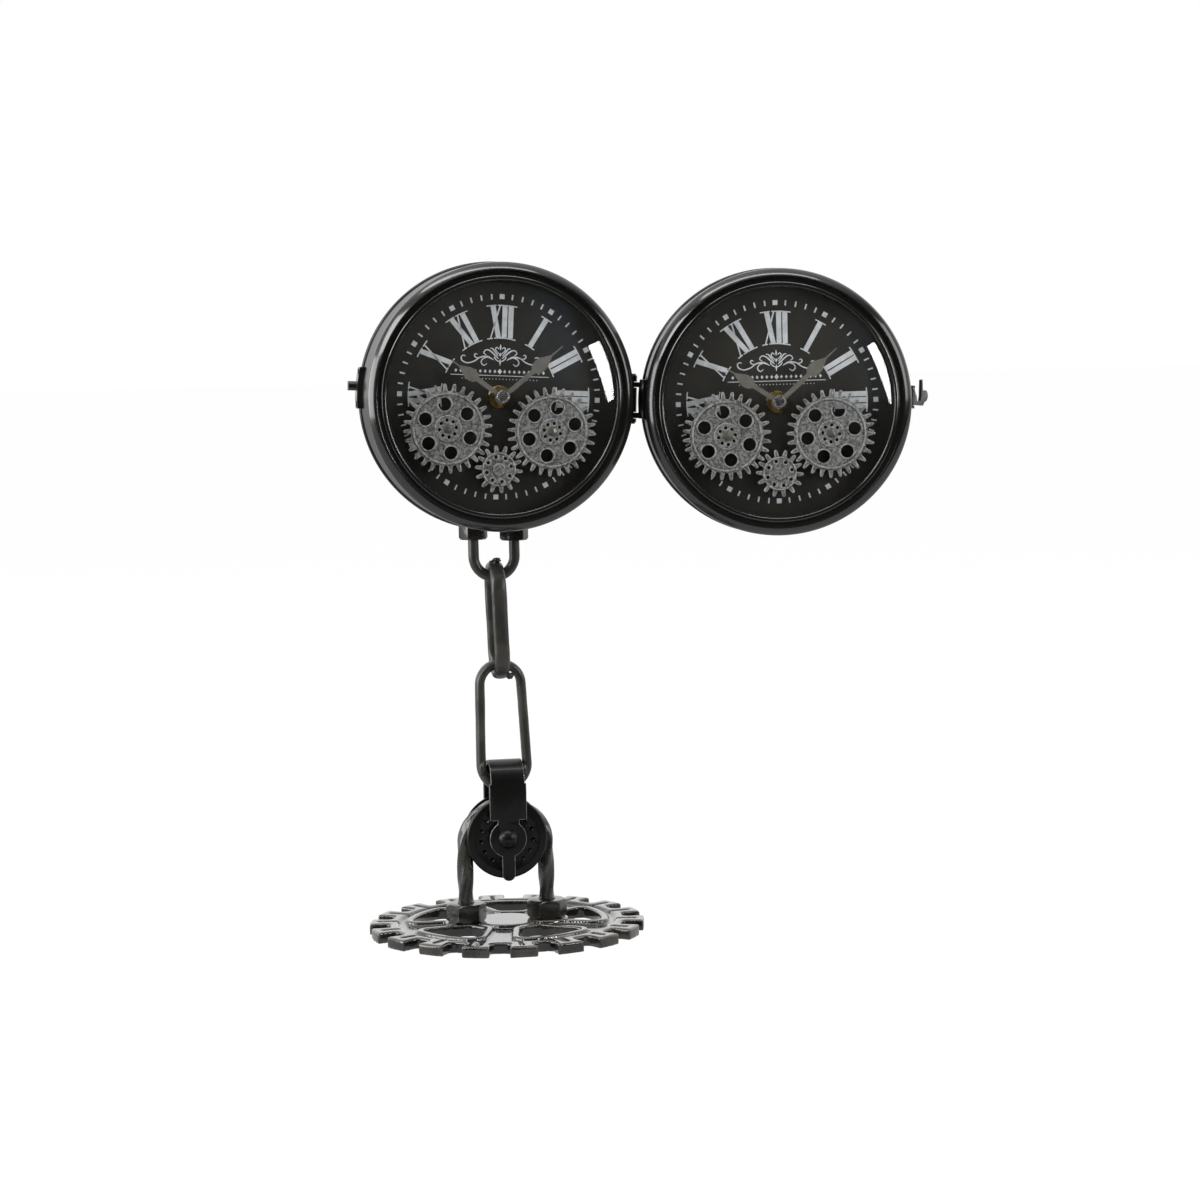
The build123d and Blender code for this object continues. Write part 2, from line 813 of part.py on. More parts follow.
def hour_hand_part():
    """Hour hand on its tube."""
    with BuildPart() as piece:
        with BuildSketch(across(hour_depth)):
            add(hand_outline(hour_length, hour_width))
            Circle(hand_boss_radius)
        extrude(amount=hand_thickness)
        with BuildSketch(across(dial_rear)):
            Circle(hour_tube_radius)
        extrude(amount=hour_depth - dial_rear)
        with BuildSketch(across(dial_rear)):
            Circle(minute_arbor_radius + running_gap)
        extrude(amount=minute_depth, mode=Mode.SUBTRACT)
    return piece.part


def minute_hand_part():
    """Minute hand, a plate with a bore for its arbor."""
    with BuildPart() as piece:
        with BuildSketch(across(minute_depth)):
            add(hand_outline(minute_length, minute_width))
            Circle(hub_cap_radius)
            Circle(minute_arbor_radius + running_gap, mode=Mode.SUBTRACT)
        extrude(amount=hand_thickness)
    return piece.part


def minute_arbor_part():
    """Minute arbor with the round cap that holds the hand."""
    with BuildPart() as piece:
        with BuildSketch(across(dial_rear)):
            Circle(minute_arbor_radius)
        extrude(amount=minute_depth + hand_thickness - dial_rear)
        with BuildSketch(across(minute_depth + hand_thickness)):
            Circle(hub_cap_radius - 0.4)
        extrude(amount=hub_cap_rise)
    return piece.part


def movement_part():
    """Movement box with a bay for its cell and a threaded bushing through the dial."""
    rear = dial_rear - movement_thickness
    with BuildPart() as piece:
        with BuildSketch(across(rear)):
            RectangleRounded(movement_size, movement_size, 3)
        extrude(amount=movement_thickness)
        with BuildSketch(across(rear)):
            with Locations((0, -movement_size / 4)):
                Rectangle(cell_length + 2 * bay_clearance, 2 * (cell_radius + bay_clearance))
        extrude(amount=2 * cell_radius + bay_clearance, mode=Mode.SUBTRACT)
        with BuildSketch(across(rear)):
            with Locations(knob_place):
                Circle(knob_shaft_radius)
        extrude(amount=knob_shaft_length + moving_gap, mode=Mode.SUBTRACT)
        with BuildSketch(across(dial_rear)):
            Circle(bushing_radius)
        extrude(amount=dial_thickness + hand_nut_height + bushing_rise)
        with BuildSketch(across(dial_rear - 0.5)):
            Circle(hour_tube_radius + running_gap)
        extrude(amount=hour_depth - dial_rear, mode=Mode.SUBTRACT)
    return piece.part


def hand_nut_part():
    """Round nut with two notches, on the bushing in front of the dial."""
    with BuildPart() as piece:
        with BuildSketch(across(dial_front)):
            Circle(hand_nut_radius)
            Circle(bushing_radius + fit_gap, mode=Mode.SUBTRACT)
            with PolarLocations(hand_nut_radius, 2):
                Rectangle(*hand_nut_notch, mode=Mode.SUBTRACT)
        extrude(amount=hand_nut_height)
        crown = piece.faces().sort_by(Axis.Y)[0]
        chamfer(crown.outer_wire().edges().filter_by(GeomType.CIRCLE), 0.5)
    return piece.part


def set_knob_part():
    """Setting knob with a short shaft into the movement."""
    rear = dial_rear - movement_thickness
    with BuildPart() as piece:
        with BuildSketch(across(rear - moving_gap - knob_height)):
            with Locations(knob_place):
                Circle(knob_radius)
                with PolarLocations(knob_radius, knob_groove_count):
                    Circle(knob_groove, mode=Mode.SUBTRACT)
        extrude(amount=knob_height)
        with BuildSketch(across(rear - moving_gap)):
            with Locations(knob_place):
                Circle(knob_shaft_radius - running_gap)
        extrude(amount=knob_shaft_length + moving_gap)
    return piece.part


def gear_motor_part():
    """Gear motor box with a bay for its cell, a bore for the drive arbor and a switch slot."""
    rear = dial_rear - motor_thickness
    with BuildPart() as piece:
        with BuildSketch(across(rear)):
            with Locations(motor_centre):
                RectangleRounded(motor_width, motor_height, 2.5)
        extrude(amount=motor_thickness)
        with BuildSketch(across(rear)):
            with Locations((motor_cell_x, motor_centre[1])):
                Rectangle(2 * (cell_radius + bay_clearance), cell_length + 2 * bay_clearance)
        extrude(amount=2 * cell_radius + bay_clearance, mode=Mode.SUBTRACT)
        with BuildSketch(across(drive_arbor_end - 1.0)):
            with Locations((-big_gear_x, big_gear_z)):
                Circle(drive_arbor_radius + running_gap)
        extrude(amount=dial_rear, mode=Mode.SUBTRACT)
        with BuildSketch(across(rear)):
            with Locations(switch_place):
                Rectangle(switch_width + 2 * moving_gap, switch_length + switch_travel + 2 * moving_gap)
        extrude(amount=switch_depth, mode=Mode.SUBTRACT)
    return piece.part


def motor_switch_part():
    """Slide switch button, at the low end of its slot."""
    rear = dial_rear - motor_thickness
    with BuildPart() as piece:
        with BuildSketch(across(rear - switch_rise)):
            with Locations((switch_place[0], switch_place[1] - switch_travel / 2)):
                Rectangle(switch_width, switch_length)
        extrude(amount=switch_rise + switch_depth - moving_gap)
    return piece.part


def cells_part():
    """Two cylinder cells, each with its small positive cap, lying in their bays."""
    movement_axis = dial_rear - movement_thickness + cell_radius
    motor_axis = dial_rear - motor_thickness + cell_radius
    body = cell_length - cell_cap_length
    with BuildPart() as piece:
        with BuildSketch(Plane.YZ.offset(-cell_length / 2)):
            with Locations((-movement_axis, -movement_size / 4)):
                Circle(cell_radius)
        extrude(amount=body)
        with BuildSketch(Plane.YZ.offset(-cell_length / 2 + body)):
            with Locations((-movement_axis, -movement_size / 4)):
                Circle(cell_cap_radius)
        extrude(amount=cell_cap_length)
        with BuildSketch(Plane.XY.offset(motor_centre[1] - cell_length / 2)):
            with Locations((motor_cell_x, -motor_axis)):
                Circle(cell_radius)
        extrude(amount=body)
        with BuildSketch(Plane.XY.offset(motor_centre[1] - cell_length / 2 + body)):
            with Locations((motor_cell_x, -motor_axis)):
                Circle(cell_cap_radius)
        extrude(amount=cell_cap_length)
    return piece.part


def back_cover_part():
    """Back cover with a window over the movement and one over the gear motor."""
    with BuildPart() as piece:
        with BuildSketch(across(cover_rear)):
            Circle(tight_radius)
            RectangleRounded(cover_window, cover_window, 4, mode=Mode.SUBTRACT)
            with Locations((motor_centre[0] - 1.0, motor_centre[1])):
                Rectangle(motor_width, motor_height - 2.0, mode=Mode.SUBTRACT)
            with PolarLocations(cover_screw_circle, cover_screw_count, start_angle=30):
                Circle(screw_radius + fit_gap, mode=Mode.SUBTRACT)
        extrude(amount=cover_thickness)
    return piece.part


def back_screws_part():
    """Screws of the back cover, heads outside."""
    with BuildPart() as piece:
        with BuildSketch(across(cover_rear - screw_head_rise)):
            with PolarLocations(cover_screw_circle, cover_screw_count, start_angle=30):
                Circle(screw_head_radius)
        extrude(amount=screw_head_rise)
        with BuildSketch(across(cover_rear)):
            with PolarLocations(cover_screw_circle, cover_screw_count, start_angle=30):
                Circle(screw_radius)
        extrude(amount=cover_thickness + ledge_thickness)
    return piece.part


def turned(angle):
    """A turn about the drum's axis, clockwise as seen from the front."""
    return Location((0, 0, 0), (0, angle, 0))


def at_gear(x, z, angle):
    """A gear's centre in the dial's frame, turned counter-clockwise by an angle."""
    return Location((x, 0, z), (0, -angle, 0))


# Clocks
bolt_holes = []
for side in (-1, 1):
    hole_x = u_bolt_x + side * u_bolt_half_span
    bolt_holes.append((hole_x, 0, (u_bolt_bottom + axis_height) / 2))

pair = (
    ("left", left_place, left_dial_roll, left_gear_angles),
    ("right", right_place, right_dial_roll, right_gear_angles),
)
hour_turn = 30 * (hand_hour + hand_minute / 60)
minute_turn = 6 * hand_minute
for name, place, roll, gear_angles in pair:
    dial_place = place * turned(roll)
    first_angle, second_angle, small_angle = gear_angles
    with BuildPart() as drum:
        add(drum_part().moved(place))
        if name == "left":
            with Locations(*bolt_holes):
                Cylinder(u_bolt_rod / 2 + fit_gap, axis_height - u_bolt_bottom, mode=Mode.SUBTRACT)
    save(drum.part, f"{name}_drum")
    save(bezel_part().moved(place), f"{name}_bezel")
    save(glass_part().moved(place), f"{name}_glass")
    gasket_rear = band_front - flange_thickness
    gasket = ring(flange_inner - fit_gap, glass_edge_radius + fit_gap, gasket_rear, gasket_front)
    save(gasket.moved(place), f"{name}_gasket")
    save(dial_part().moved(dial_place), f"{name}_dial")
    save(gear_posts_part().moved(dial_place), f"{name}_gear_posts")
    drive_gear = big_gear_part(0).moved(dial_place * at_gear(-big_gear_x, big_gear_z, first_angle))
    save(drive_gear, f"{name}_drive_gear")
    far_gear = big_gear_part(post_radius + running_gap)
    save(far_gear.moved(dial_place * at_gear(big_gear_x, big_gear_z, second_angle)), f"{name}_far_gear")
    small_gear = small_gear_part().moved(dial_place * at_gear(0, small_gear_z, small_angle))
    save(small_gear, f"{name}_small_gear")
    save(hour_hand_part().moved(dial_place * turned(hour_turn)), f"{name}_hour_hand")
    save(minute_hand_part().moved(dial_place * turned(minute_turn)), f"{name}_minute_hand")
    save(minute_arbor_part().moved(dial_place), f"{name}_minute_arbor")
    save(hand_nut_part().moved(dial_place), f"{name}_hand_nut")
    save(movement_part().moved(dial_place), f"{name}_movement")
    save(set_knob_part().moved(dial_place), f"{name}_set_knob")
    save(gear_motor_part().moved(dial_place), f"{name}_gear_motor")
    save(motor_switch_part().moved(dial_place), f"{name}_motor_switch")
    save(cells_part().moved(dial_place), f"{name}_cells")
    save(back_cover_part().moved(place), f"{name}_back_cover")
    save(back_screws_part().moved(place), f"{name}_back_screws")


def curved_plate(low, high, inner, outer, start, end):
    """A plate on the band's right side, between two heights, two radii and two depths."""
    with BuildPart() as piece:
        with BuildSketch(across(start)):
            Circle(outer)
            Circle(inner, mode=Mode.SUBTRACT)
            with Locations((outer, (low + high) / 2)):
                Rectangle(outer, high - low, mode=Mode.INTERSECT)
        extrude(amount=end - start)
    return piece.part


seat_radius = band_radius + fit_gap
over_rim = rim_radius + fit_gap


def leaf_part(spans, height, depth):
    """Hinge leaf on a drum's right side, with knuckles over the given height spans."""
    top = height / 2
    band_outer = seat_radius + leaf_thickness
    arm = leaf_arm_thickness
    with BuildPart() as piece:
        add(curved_plate(-top, top, seat_radius, band_outer, rim_depth, depth))
        add(curved_plate(-top, top, seat_radius, over_rim + arm, rim_depth, rim_depth + arm))
        add(curved_plate(-top, top, over_rim, over_rim + arm, barrel_radius - pin_back - arm, rim_depth))
        for high, low in spans:
            nearest = max(0, low, -high)
            arm_start = sqrt(over_rim**2 - nearest**2) + fit_gap
            with BuildSketch(Plane.XY.offset(low)):
                with Locations((pin_reach, pin_back)):
                    Circle(barrel_radius)
                with Locations(((arm_start + pin_reach) / 2, pin_back - barrel_radius + arm / 2)):
                    Rectangle(pin_reach - arm_start, arm)
            extrude(amount=high - low)
        with BuildSketch(Plane.XY.offset(-hinge_height)):
            with Locations((pin_reach, pin_back)):
                Circle(hinge_pin_radius + running_gap)
        extrude(amount=2 * hinge_height, mode=Mode.SUBTRACT)
    return piece.part


# Hinge
half = hinge_height / 2
gap = moving_gap / 2
first_break, second_break, third_break, fourth_break = hinge_breaks
left_spans = (
    (half, first_break + gap),
    (second_break - gap, third_break + gap),
    (fourth_break - gap, -half),
)
right_spans = (
    (first_break - gap, second_break + gap),
    (third_break - gap, fourth_break + gap),
)
save(leaf_part(left_spans, hinge_height, left_leaf_depth).moved(left_place), "left_hinge_leaf")
right_leaf = mirror(leaf_part(right_spans, right_leaf_height, right_leaf_depth), about=Plane.YZ)
save(right_leaf.moved(right_place), "right_hinge_leaf")
with BuildPart() as hinge_pin:
    Cylinder(hinge_pin_radius, hinge_height + 2 * hinge_head_height)
    with Locations((0, 0, half + hinge_head_height / 2), (0, 0, -half - hinge_head_height / 2)):
        Cylinder(hinge_head_radius, hinge_head_height)
save(hinge_pin.part.moved(pin_place), "hinge_pin")


def latch_plate(low, high):
    """Latch plate on a drum's right side, part on the band and part over the rear rim."""
    outer = seat_radius + latch_plate_thickness
    with BuildPart() as piece:
        add(curved_plate(low, high, seat_radius, outer, rim_depth, latch_plate_depth))
        add(curved_plate(low, high, over_rim, outer, moving_gap, rim_depth))
        for height in (low + latch_screw_inset, high - latch_screw_inset):
            reach = sqrt(outer**2 - height**2) - latch_screw_sink
            with Locations(Location((reach, -latch_screw_depth, height), (0, 90, 0))):
                Cylinder(latch_screw_radius, latch_screw_length)
    return piece.part


# Catch plate with its stud, on the left drum's left side
plate_outer = seat_radius + latch_plate_thickness
with BuildPart() as catch_plate:
    add(latch_plate(catch_low, catch_high))
    stud_root = plate_outer - 1.0
    with Locations(Location(((stud_root + stud_reach) / 2, -stud_depth, stud_height), (0, 90, 0))):
        Cylinder(stud_radius, stud_reach - stud_root)
catch_mirrored = mirror(catch_plate.part, about=Plane.YZ)
save(catch_mirrored.moved(left_place), "catch_plate")

# Hook plate with two ears and the pin, on the right drum's right side
ear_spans = (
    (hook_knuckle_high + moving_gap, hook_knuckle_high + moving_gap + hook_ear),
    (hook_knuckle_low - moving_gap - hook_ear, hook_knuckle_low - moving_gap),
)
with BuildPart() as hook_plate:
    add(latch_plate(hook_plate_low, hook_plate_high))
    for low, high in ear_spans:
        with BuildSketch(Plane.XY.offset(low)):
            with Locations((hook_pin_reach, -hook_pin_depth)):
                Circle(hook_knuckle_radius)
            with Locations(((plate_outer - 0.5 + hook_pin_reach) / 2, -hook_pin_depth)):
                Rectangle(hook_pin_reach - plate_outer + 0.5, 2 * hook_knuckle_radius)
        extrude(amount=high - low)
    pin_low = ear_spans[1][0]
    with BuildSketch(Plane.XY.offset(pin_low)):
        with Locations((hook_pin_reach, -hook_pin_depth)):
            Circle(hook_pin_radius)
    extrude(amount=ear_spans[0][1] - pin_low)
save(hook_plate.part.moved(right_place), "hook_plate")

# Hook: knuckle, arm, upright prong and a finger end, built pointing along +X from its pin
with BuildPart() as latch_hook:
    with BuildSketch(Plane.XY.offset(hook_knuckle_low)):
        Circle(hook_knuckle_radius)
    extrude(amount=hook_knuckle_high - hook_knuckle_low)
    with BuildSketch(Plane.XZ.offset(-hook_thickness / 2)):
        mouth_in = hook_mouth_centre - hook_mouth_half
        mouth_out = hook_mouth_centre + hook_mouth_half
        with BuildLine():
            Polyline(
                (0, hook_arm_low + hook_inset),
                (mouth_out + hook_elbow, hook_arm_low),
                (hook_ball_place[0], hook_ball_place[1] - hook_ball_radius + hook_inset),
                hook_ball_place,
                (mouth_out + hook_mouth_corner, hook_ball_place[1] + hook_elbow),
                (mouth_out + hook_prong_back, hook_prong_top),
                (mouth_out, hook_prong_top - hook_inset),
                (mouth_out, hook_arm_high + hook_mouth_half),
                (mouth_out - hook_floor_corner, hook_arm_high),
                (mouth_in + hook_floor_corner, hook_arm_high),
                (mouth_in, hook_arm_high + hook_mouth_half),
                (hook_knuckle_radius - hook_inset, hook_knuckle_high - hook_inset),
                (0, hook_knuckle_high - hook_inset),
                close=True,
            )
        make_face()
        with Locations(hook_ball_place):
            Circle(hook_ball_radius)
    extrude(amount=hook_thickness)
    with BuildSketch(Plane.XY.offset(hook_arm_low)):
        Circle(hook_pin_radius + running_gap)
    extrude(amount=2 * hook_knuckle_high, mode=Mode.SUBTRACT)
hook_place = right_place * Location((hook_pin_reach, -hook_pin_depth, 0), (0, 0, hook_rest_swing))
save(latch_hook.part.moved(hook_place), "latch_hook")
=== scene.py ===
"""Looks of a table clock: two round drums hinged side by side on a chain stand with a gear base.

Metres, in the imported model's frame: +X right, +Y rear, +Z up, the base stands on z = 0.
Sizes in millimetres are turned into metres by mm().
"""

import math

import bmesh
import bpy
import numpy as np
from mathutils import Matrix, Vector, noise


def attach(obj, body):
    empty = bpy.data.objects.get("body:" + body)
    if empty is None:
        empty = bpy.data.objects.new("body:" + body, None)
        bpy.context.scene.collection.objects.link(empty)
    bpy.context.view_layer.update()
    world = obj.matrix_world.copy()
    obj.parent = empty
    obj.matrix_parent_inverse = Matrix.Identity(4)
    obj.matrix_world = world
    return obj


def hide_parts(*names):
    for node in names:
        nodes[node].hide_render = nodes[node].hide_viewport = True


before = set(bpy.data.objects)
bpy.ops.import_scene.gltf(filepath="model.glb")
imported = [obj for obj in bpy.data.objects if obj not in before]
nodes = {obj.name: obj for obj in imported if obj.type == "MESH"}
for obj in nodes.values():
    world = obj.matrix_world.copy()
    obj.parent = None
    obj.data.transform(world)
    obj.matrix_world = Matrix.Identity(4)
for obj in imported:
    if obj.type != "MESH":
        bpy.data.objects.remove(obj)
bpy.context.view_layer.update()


def mm(*sizes):
    """Millimetres to metres: one number, or a vector of them."""
    if len(sizes) == 1:
        return sizes[0] / 1000
    return Vector([size / 1000 for size in sizes])


def colour(hexadecimal, alpha=1.0):
    """Linear colour of an sRGB hexadecimal."""
    channels = [int(hexadecimal[i : i + 2], 16) / 255 for i in (0, 2, 4)]
    linear = [c / 12.92 if c <= 0.04045 else ((c + 0.055) / 1.055) ** 2.4 for c in channels]
    return (*linear, alpha)


# Where the clocks stand, as in the part's source
rear_plane = mm(1.0, 20.0, 365.4)
pair_tilt = math.radians(2.3)
fold_angle = math.radians(9.0)
pin_reach = 97.5
pin_back = 0.6
dial_front = 32.0
gear_back = 39.5

left_place = Matrix.Translation(rear_plane) @ Matrix.Rotation(pair_tilt, 4, "Y")
right_place = (
    left_place
    @ Matrix.Translation(mm(pin_reach, pin_back, 0))
    @ Matrix.Rotation(-fold_angle, 4, "Z")
    @ Matrix.Translation(mm(pin_reach, -pin_back, 0))
)
dial_places = {
    "left": left_place @ Matrix.Rotation(math.radians(0.9), 4, "Y"),
    "right": right_place @ Matrix.Rotation(math.radians(-2.6), 4, "Y"),
}
clock_bodies = {"left": "stand", "right": "right_clock"}
face_on = Matrix.Rotation(math.pi / 2, 4, "X")


class Steps:
    """Adds nodes to one tree. Inputs take values or the sockets of earlier nodes."""

    def __init__(self, tree):
        self.tree = tree

    def add(self, kind, feeds=None, **options):
        node = self.tree.nodes.new(kind)
        for option, value in options.items():
            setattr(node, option, value)
        for key, value in (feeds or {}).items():
            if isinstance(value, bpy.types.NodeSocket):
                self.tree.links.new(value, node.inputs[key])
            else:
                node.inputs[key].default_value = value
        return node

    def calc(self, operation, *values):
        node = self.add("ShaderNodeMath", dict(enumerate(values)), operation=operation)
        return node.outputs[0]

    def times(self, first, second):
        return self.calc("MULTIPLY", first, second)

    def plus(self, first, second):
        return self.calc("ADD", first, second)

    def minus(self, first, second):
        return self.calc("SUBTRACT", first, second)

    def vector(self, operation, *values):
        node = self.add("ShaderNodeVectorMath", dict(enumerate(values)), operation=operation)
        return node.outputs[0]

    def scaled(self, vector, factor):
        node = self.add("ShaderNodeVectorMath", {"Vector": vector, "Scale": factor}, operation="SCALE")
        return node.outputs[0]

    def remap(self, value, low, high, new_low=0.0, new_high=1.0, smooth=False):
        feeds = {"Value": value, "From Min": low, "From Max": high, "To Min": new_low, "To Max": new_high}
        way = "SMOOTHSTEP" if smooth else "LINEAR"
        return self.add("ShaderNodeMapRange", feeds, interpolation_type=way).outputs["Result"]

    def blend(self, factor, first, second, way="MIX"):
        node = self.add("ShaderNodeMix", data_type="RGBA", blend_type=way)
        for key, value in ((0, factor), (6, first), (7, second)):
            if isinstance(value, bpy.types.NodeSocket):
                self.tree.links.new(value, node.inputs[key])
            else:
                node.inputs[key].default_value = value
        return node.outputs[2]

    def send(self, value, socket):
        self.tree.links.new(value, socket)

    def xyz(self, **parts):
        return self.add("ShaderNodeCombineXYZ", parts).outputs[0]

    def parts(self, vector):
        return self.add("ShaderNodeSeparateXYZ", {0: vector}).outputs

    def own_place(self):
        """The place in the piece's own coordinates."""
        return self.add("ShaderNodeTexCoord").outputs["Object"]

    def noise(self, place, scale, detail, **options):
        feeds = {"Vector": place, "Scale": scale, "Detail": detail, **options}
        return self.add("ShaderNodeTexNoise", feeds).outputs[0]


def new_tree(name, kind, inputs, outputs):
    """A node group with named inputs and outputs. Returns its steps, input node and output node."""
    tree = bpy.data.node_groups.new(name, kind)
    for title, socket_type, value in inputs:
        socket = tree.interface.new_socket(title, in_out="INPUT", socket_type=socket_type)
        if value is not None:
            socket.default_value = value
    for title, socket_type in outputs:
        tree.interface.new_socket(title, in_out="OUTPUT", socket_type=socket_type)
    return Steps(tree), tree.nodes.new("NodeGroupInput").outputs, tree.nodes.new("NodeGroupOutput").inputs


# Effects shared by several finishes

FLOAT = "NodeSocketFloat"
COLOUR = "NodeSocketColor"
GREY = (0.5, 0.5, 0.5, 1.0)

steps, given, made = new_tree(
    "sprayed coat",
    "ShaderNodeTree",
    [
        ("Coat", COLOUR, GREY),
        ("Dust", COLOUR, GREY),
        ("Cloud Scale", FLOAT, 40.0),
        ("Dust Amount", FLOAT, 0.3),
        ("Grain Scale", FLOAT, 1400.0),
        ("Gloss", FLOAT, 0.3),
        ("Gloss Spread", FLOAT, 0.1),
    ],
    [("Colour", COLOUR), ("Roughness", FLOAT), ("Height", FLOAT)],
)
place = steps.own_place()
cloud = steps.noise(place, given["Cloud Scale"], 4.0)
patches = steps.remap(cloud, 0.42, 0.68, smooth=True)
dusty = steps.times(patches, given["Dust Amount"])
steps.send(steps.blend(dusty, given["Coat"], given["Dust"]), made["Colour"])
swing = steps.times(steps.minus(cloud, 0.5), given["Gloss Spread"])
steps.send(steps.plus(given["Gloss"], swing), made["Roughness"])
steps.send(steps.noise(place, given["Grain Scale"], 2.0), made["Height"])
sprayed_coat = steps.tree

steps, given, made = new_tree(
    "rubbed edges",
    "ShaderNodeTree",
    [
        ("Colour", COLOUR, GREY),
        ("Bare", COLOUR, GREY),
        ("Edge", FLOAT, 0.0),
        ("Break Scale", FLOAT, 300.0),
        ("Amount", FLOAT, 0.6),
    ],
    [("Colour", COLOUR), ("Mask", FLOAT)],
)
kept = steps.remap(steps.noise(steps.own_place(), given["Break Scale"], 3.0), 0.35, 0.62)
mask = steps.times(steps.times(given["Edge"], kept), given["Amount"])
steps.send(steps.blend(mask, given["Colour"], given["Bare"]), made["Colour"])
steps.send(mask, made["Mask"])
rubbed_edges = steps.tree

steps, given, made = new_tree(
    "cast skin",
    "ShaderNodeTree",
    [("Pit Scale", FLOAT, 500.0), ("Pit Share", FLOAT, 0.3), ("Swell Scale", FLOAT, 120.0)],
    [("Height", FLOAT), ("Pits", FLOAT)],
)
place = steps.own_place()
cells = steps.add("ShaderNodeTexVoronoi", {"Vector": place, "Scale": given["Pit Scale"]})
where = steps.noise(place, given["Swell Scale"], 3.0)
crowd = steps.remap(where, steps.minus(0.62, given["Pit Share"]), 0.62, smooth=True)
hole = steps.remap(cells.outputs["Distance"], 0.12, 0.5, 1.0, 0.0, smooth=True)
pits = steps.times(hole, crowd)
steps.send(pits, made["Pits"])
swell = steps.times(where, 0.8)
steps.send(steps.minus(swell, pits), made["Height"])
cast_skin = steps.tree

steps, given, made = new_tree(
    "antique mottle",
    "ShaderNodeTree",
    [
        ("Bright", COLOUR, GREY),
        ("Stain", COLOUR, GREY),
        ("Stain Scale", FLOAT, 220.0),
        ("Stain Amount", FLOAT, 0.7),
        ("Fleck Scale", FLOAT, 1500.0),
    ],
    [("Colour", COLOUR), ("Stained", FLOAT), ("Height", FLOAT)],
)
place = steps.own_place()
stain = steps.noise(place, given["Stain Scale"], 6.0, Roughness=0.62)
fleck = steps.noise(place, given["Fleck Scale"], 3.0)
depth = steps.remap(stain, 0.36, 0.62, smooth=True)
specks = steps.remap(fleck, 0.3, 0.7)
fine = steps.times(steps.minus(specks, 0.5), 0.7)
stained = steps.plus(steps.times(depth, given["Stain Amount"]), fine)
steps.send(steps.blend(stained, given["Bright"], given["Stain"]), made["Colour"])
steps.send(stained, made["Stained"])
steps.send(steps.minus(fleck, stained), made["Height"])
antique_mottle = steps.tree


# Finishes


def new_finish(name):
    """A material with its Principled shader. Returns the material, its steps and the shader."""
    finish = bpy.data.materials.new(name)
    finish.use_nodes = True
    finish.node_tree.nodes.clear()
    steps = Steps(finish.node_tree)
    shader = steps.add("ShaderNodeBsdfPrincipled")
    steps.add("ShaderNodeOutputMaterial", {"Surface": shader.outputs["BSDF"]})
    return finish, steps, shader


def put_group(steps, tree, **feeds):
    """Places a shared effect in a material, with its inputs given by their titles."""
    node = steps.add("ShaderNodeGroup", node_tree=tree)
    for title, value in feeds.items():
        socket = node.inputs[title.replace("_", " ")]
        if isinstance(value, bpy.types.NodeSocket):
            steps.send(value, socket)
        else:
            socket.default_value = value
    return node.outputs


def bump(steps, shader, height, strength, distance):
    """Feeds a height to the shader's normal. Distance in metres."""
    feeds = {"Height": height, "Strength": strength, "Distance": distance}
    steps.send(steps.add("ShaderNodeBump", feeds).outputs["Normal"], shader.inputs["Normal"])


def mark_of(steps, title):
    """A mark that cast and forged pieces carry: edge or hollow."""
    return steps.add("ShaderNodeAttribute", attribute_name=title).outputs["Fac"]


def painted(
    name,
    coat,
    dust,
    gloss,
    bare="6a655c",
    worn=0.5,
    grain=0.00002,
    dust_amount=0.2,
    clear=0.8,
    rubbed=None,
    shine=0.5,
):
    """Black paint with an orange-peel grain, cloudy dust, rubbed edges and a clear gloss over it."""
    finish, steps, shader = new_finish(name)
    skin = put_group(
        steps,
        sprayed_coat,
        Coat=colour(coat),
        Dust=colour(dust),
        Cloud_Scale=55.0,
        Dust_Amount=dust_amount,
        Grain_Scale=1100.0,
        Gloss=gloss,
        Gloss_Spread=0.1,
    )
    edge = put_group(
        steps,
        rubbed_edges,
        Colour=skin["Colour"],
        Bare=colour(bare),
        Edge=mark_of(steps, "edge") if rubbed is None else rubbed,
        Break_Scale=260.0,
        Amount=worn,
    )
    steps.send(edge["Colour"], shader.inputs["Base Color"])
    steps.send(skin["Roughness"], shader.inputs["Roughness"])
    bump(steps, shader, skin["Height"], 0.2, grain)
    shader.inputs["Specular IOR Level"].default_value = shine
    shader.inputs["Coat Weight"].default_value = clear
    shader.inputs["Coat Roughness"].default_value = 0.1
    return finish


def cast(name, coat, dust, bare, gloss, pit_scale, pit_share, depth, worn):
    """Painted casting: the sprayed coat over pitted metal, worn on its edges, with painted shade darkening
    its hollows.
    """
    finish, steps, shader = new_finish(name)
    skin = put_group(
        steps,
        sprayed_coat,
        Coat=colour(coat),
        Dust=colour(dust),
        Cloud_Scale=38.0,
        Dust_Amount=0.7,
        Grain_Scale=900.0,
        Gloss=gloss,
        Gloss_Spread=0.25,
    )
    rough = put_group(steps, cast_skin, Pit_Scale=pit_scale, Pit_Share=pit_share, Swell_Scale=150.0)
    edge = put_group(
        steps,
        rubbed_edges,
        Colour=skin["Colour"],
        Bare=colour(bare),
        Edge=mark_of(steps, "edge"),
        Break_Scale=180.0,
        Amount=worn,
    )
    pitted = steps.blend(rough["Pits"], edge["Colour"], colour("0a0a09"))
    # Painted shade: the colour goes towards near-black where the mesh lies sunk (hollow mark), in place of
    # shade in the hollows
    sunk = steps.blend(steps.times(mark_of(steps, "hollow"), 0.8), pitted, colour("0c0b09"))
    steps.send(sunk, shader.inputs["Base Color"])
    steps.send(skin["Roughness"], shader.inputs["Roughness"])
    bump(steps, shader, rough["Height"], 0.5, depth)
    shader.inputs["Coat Weight"].default_value = 1.0
    shader.inputs["Coat Roughness"].default_value = 0.06
    return finish


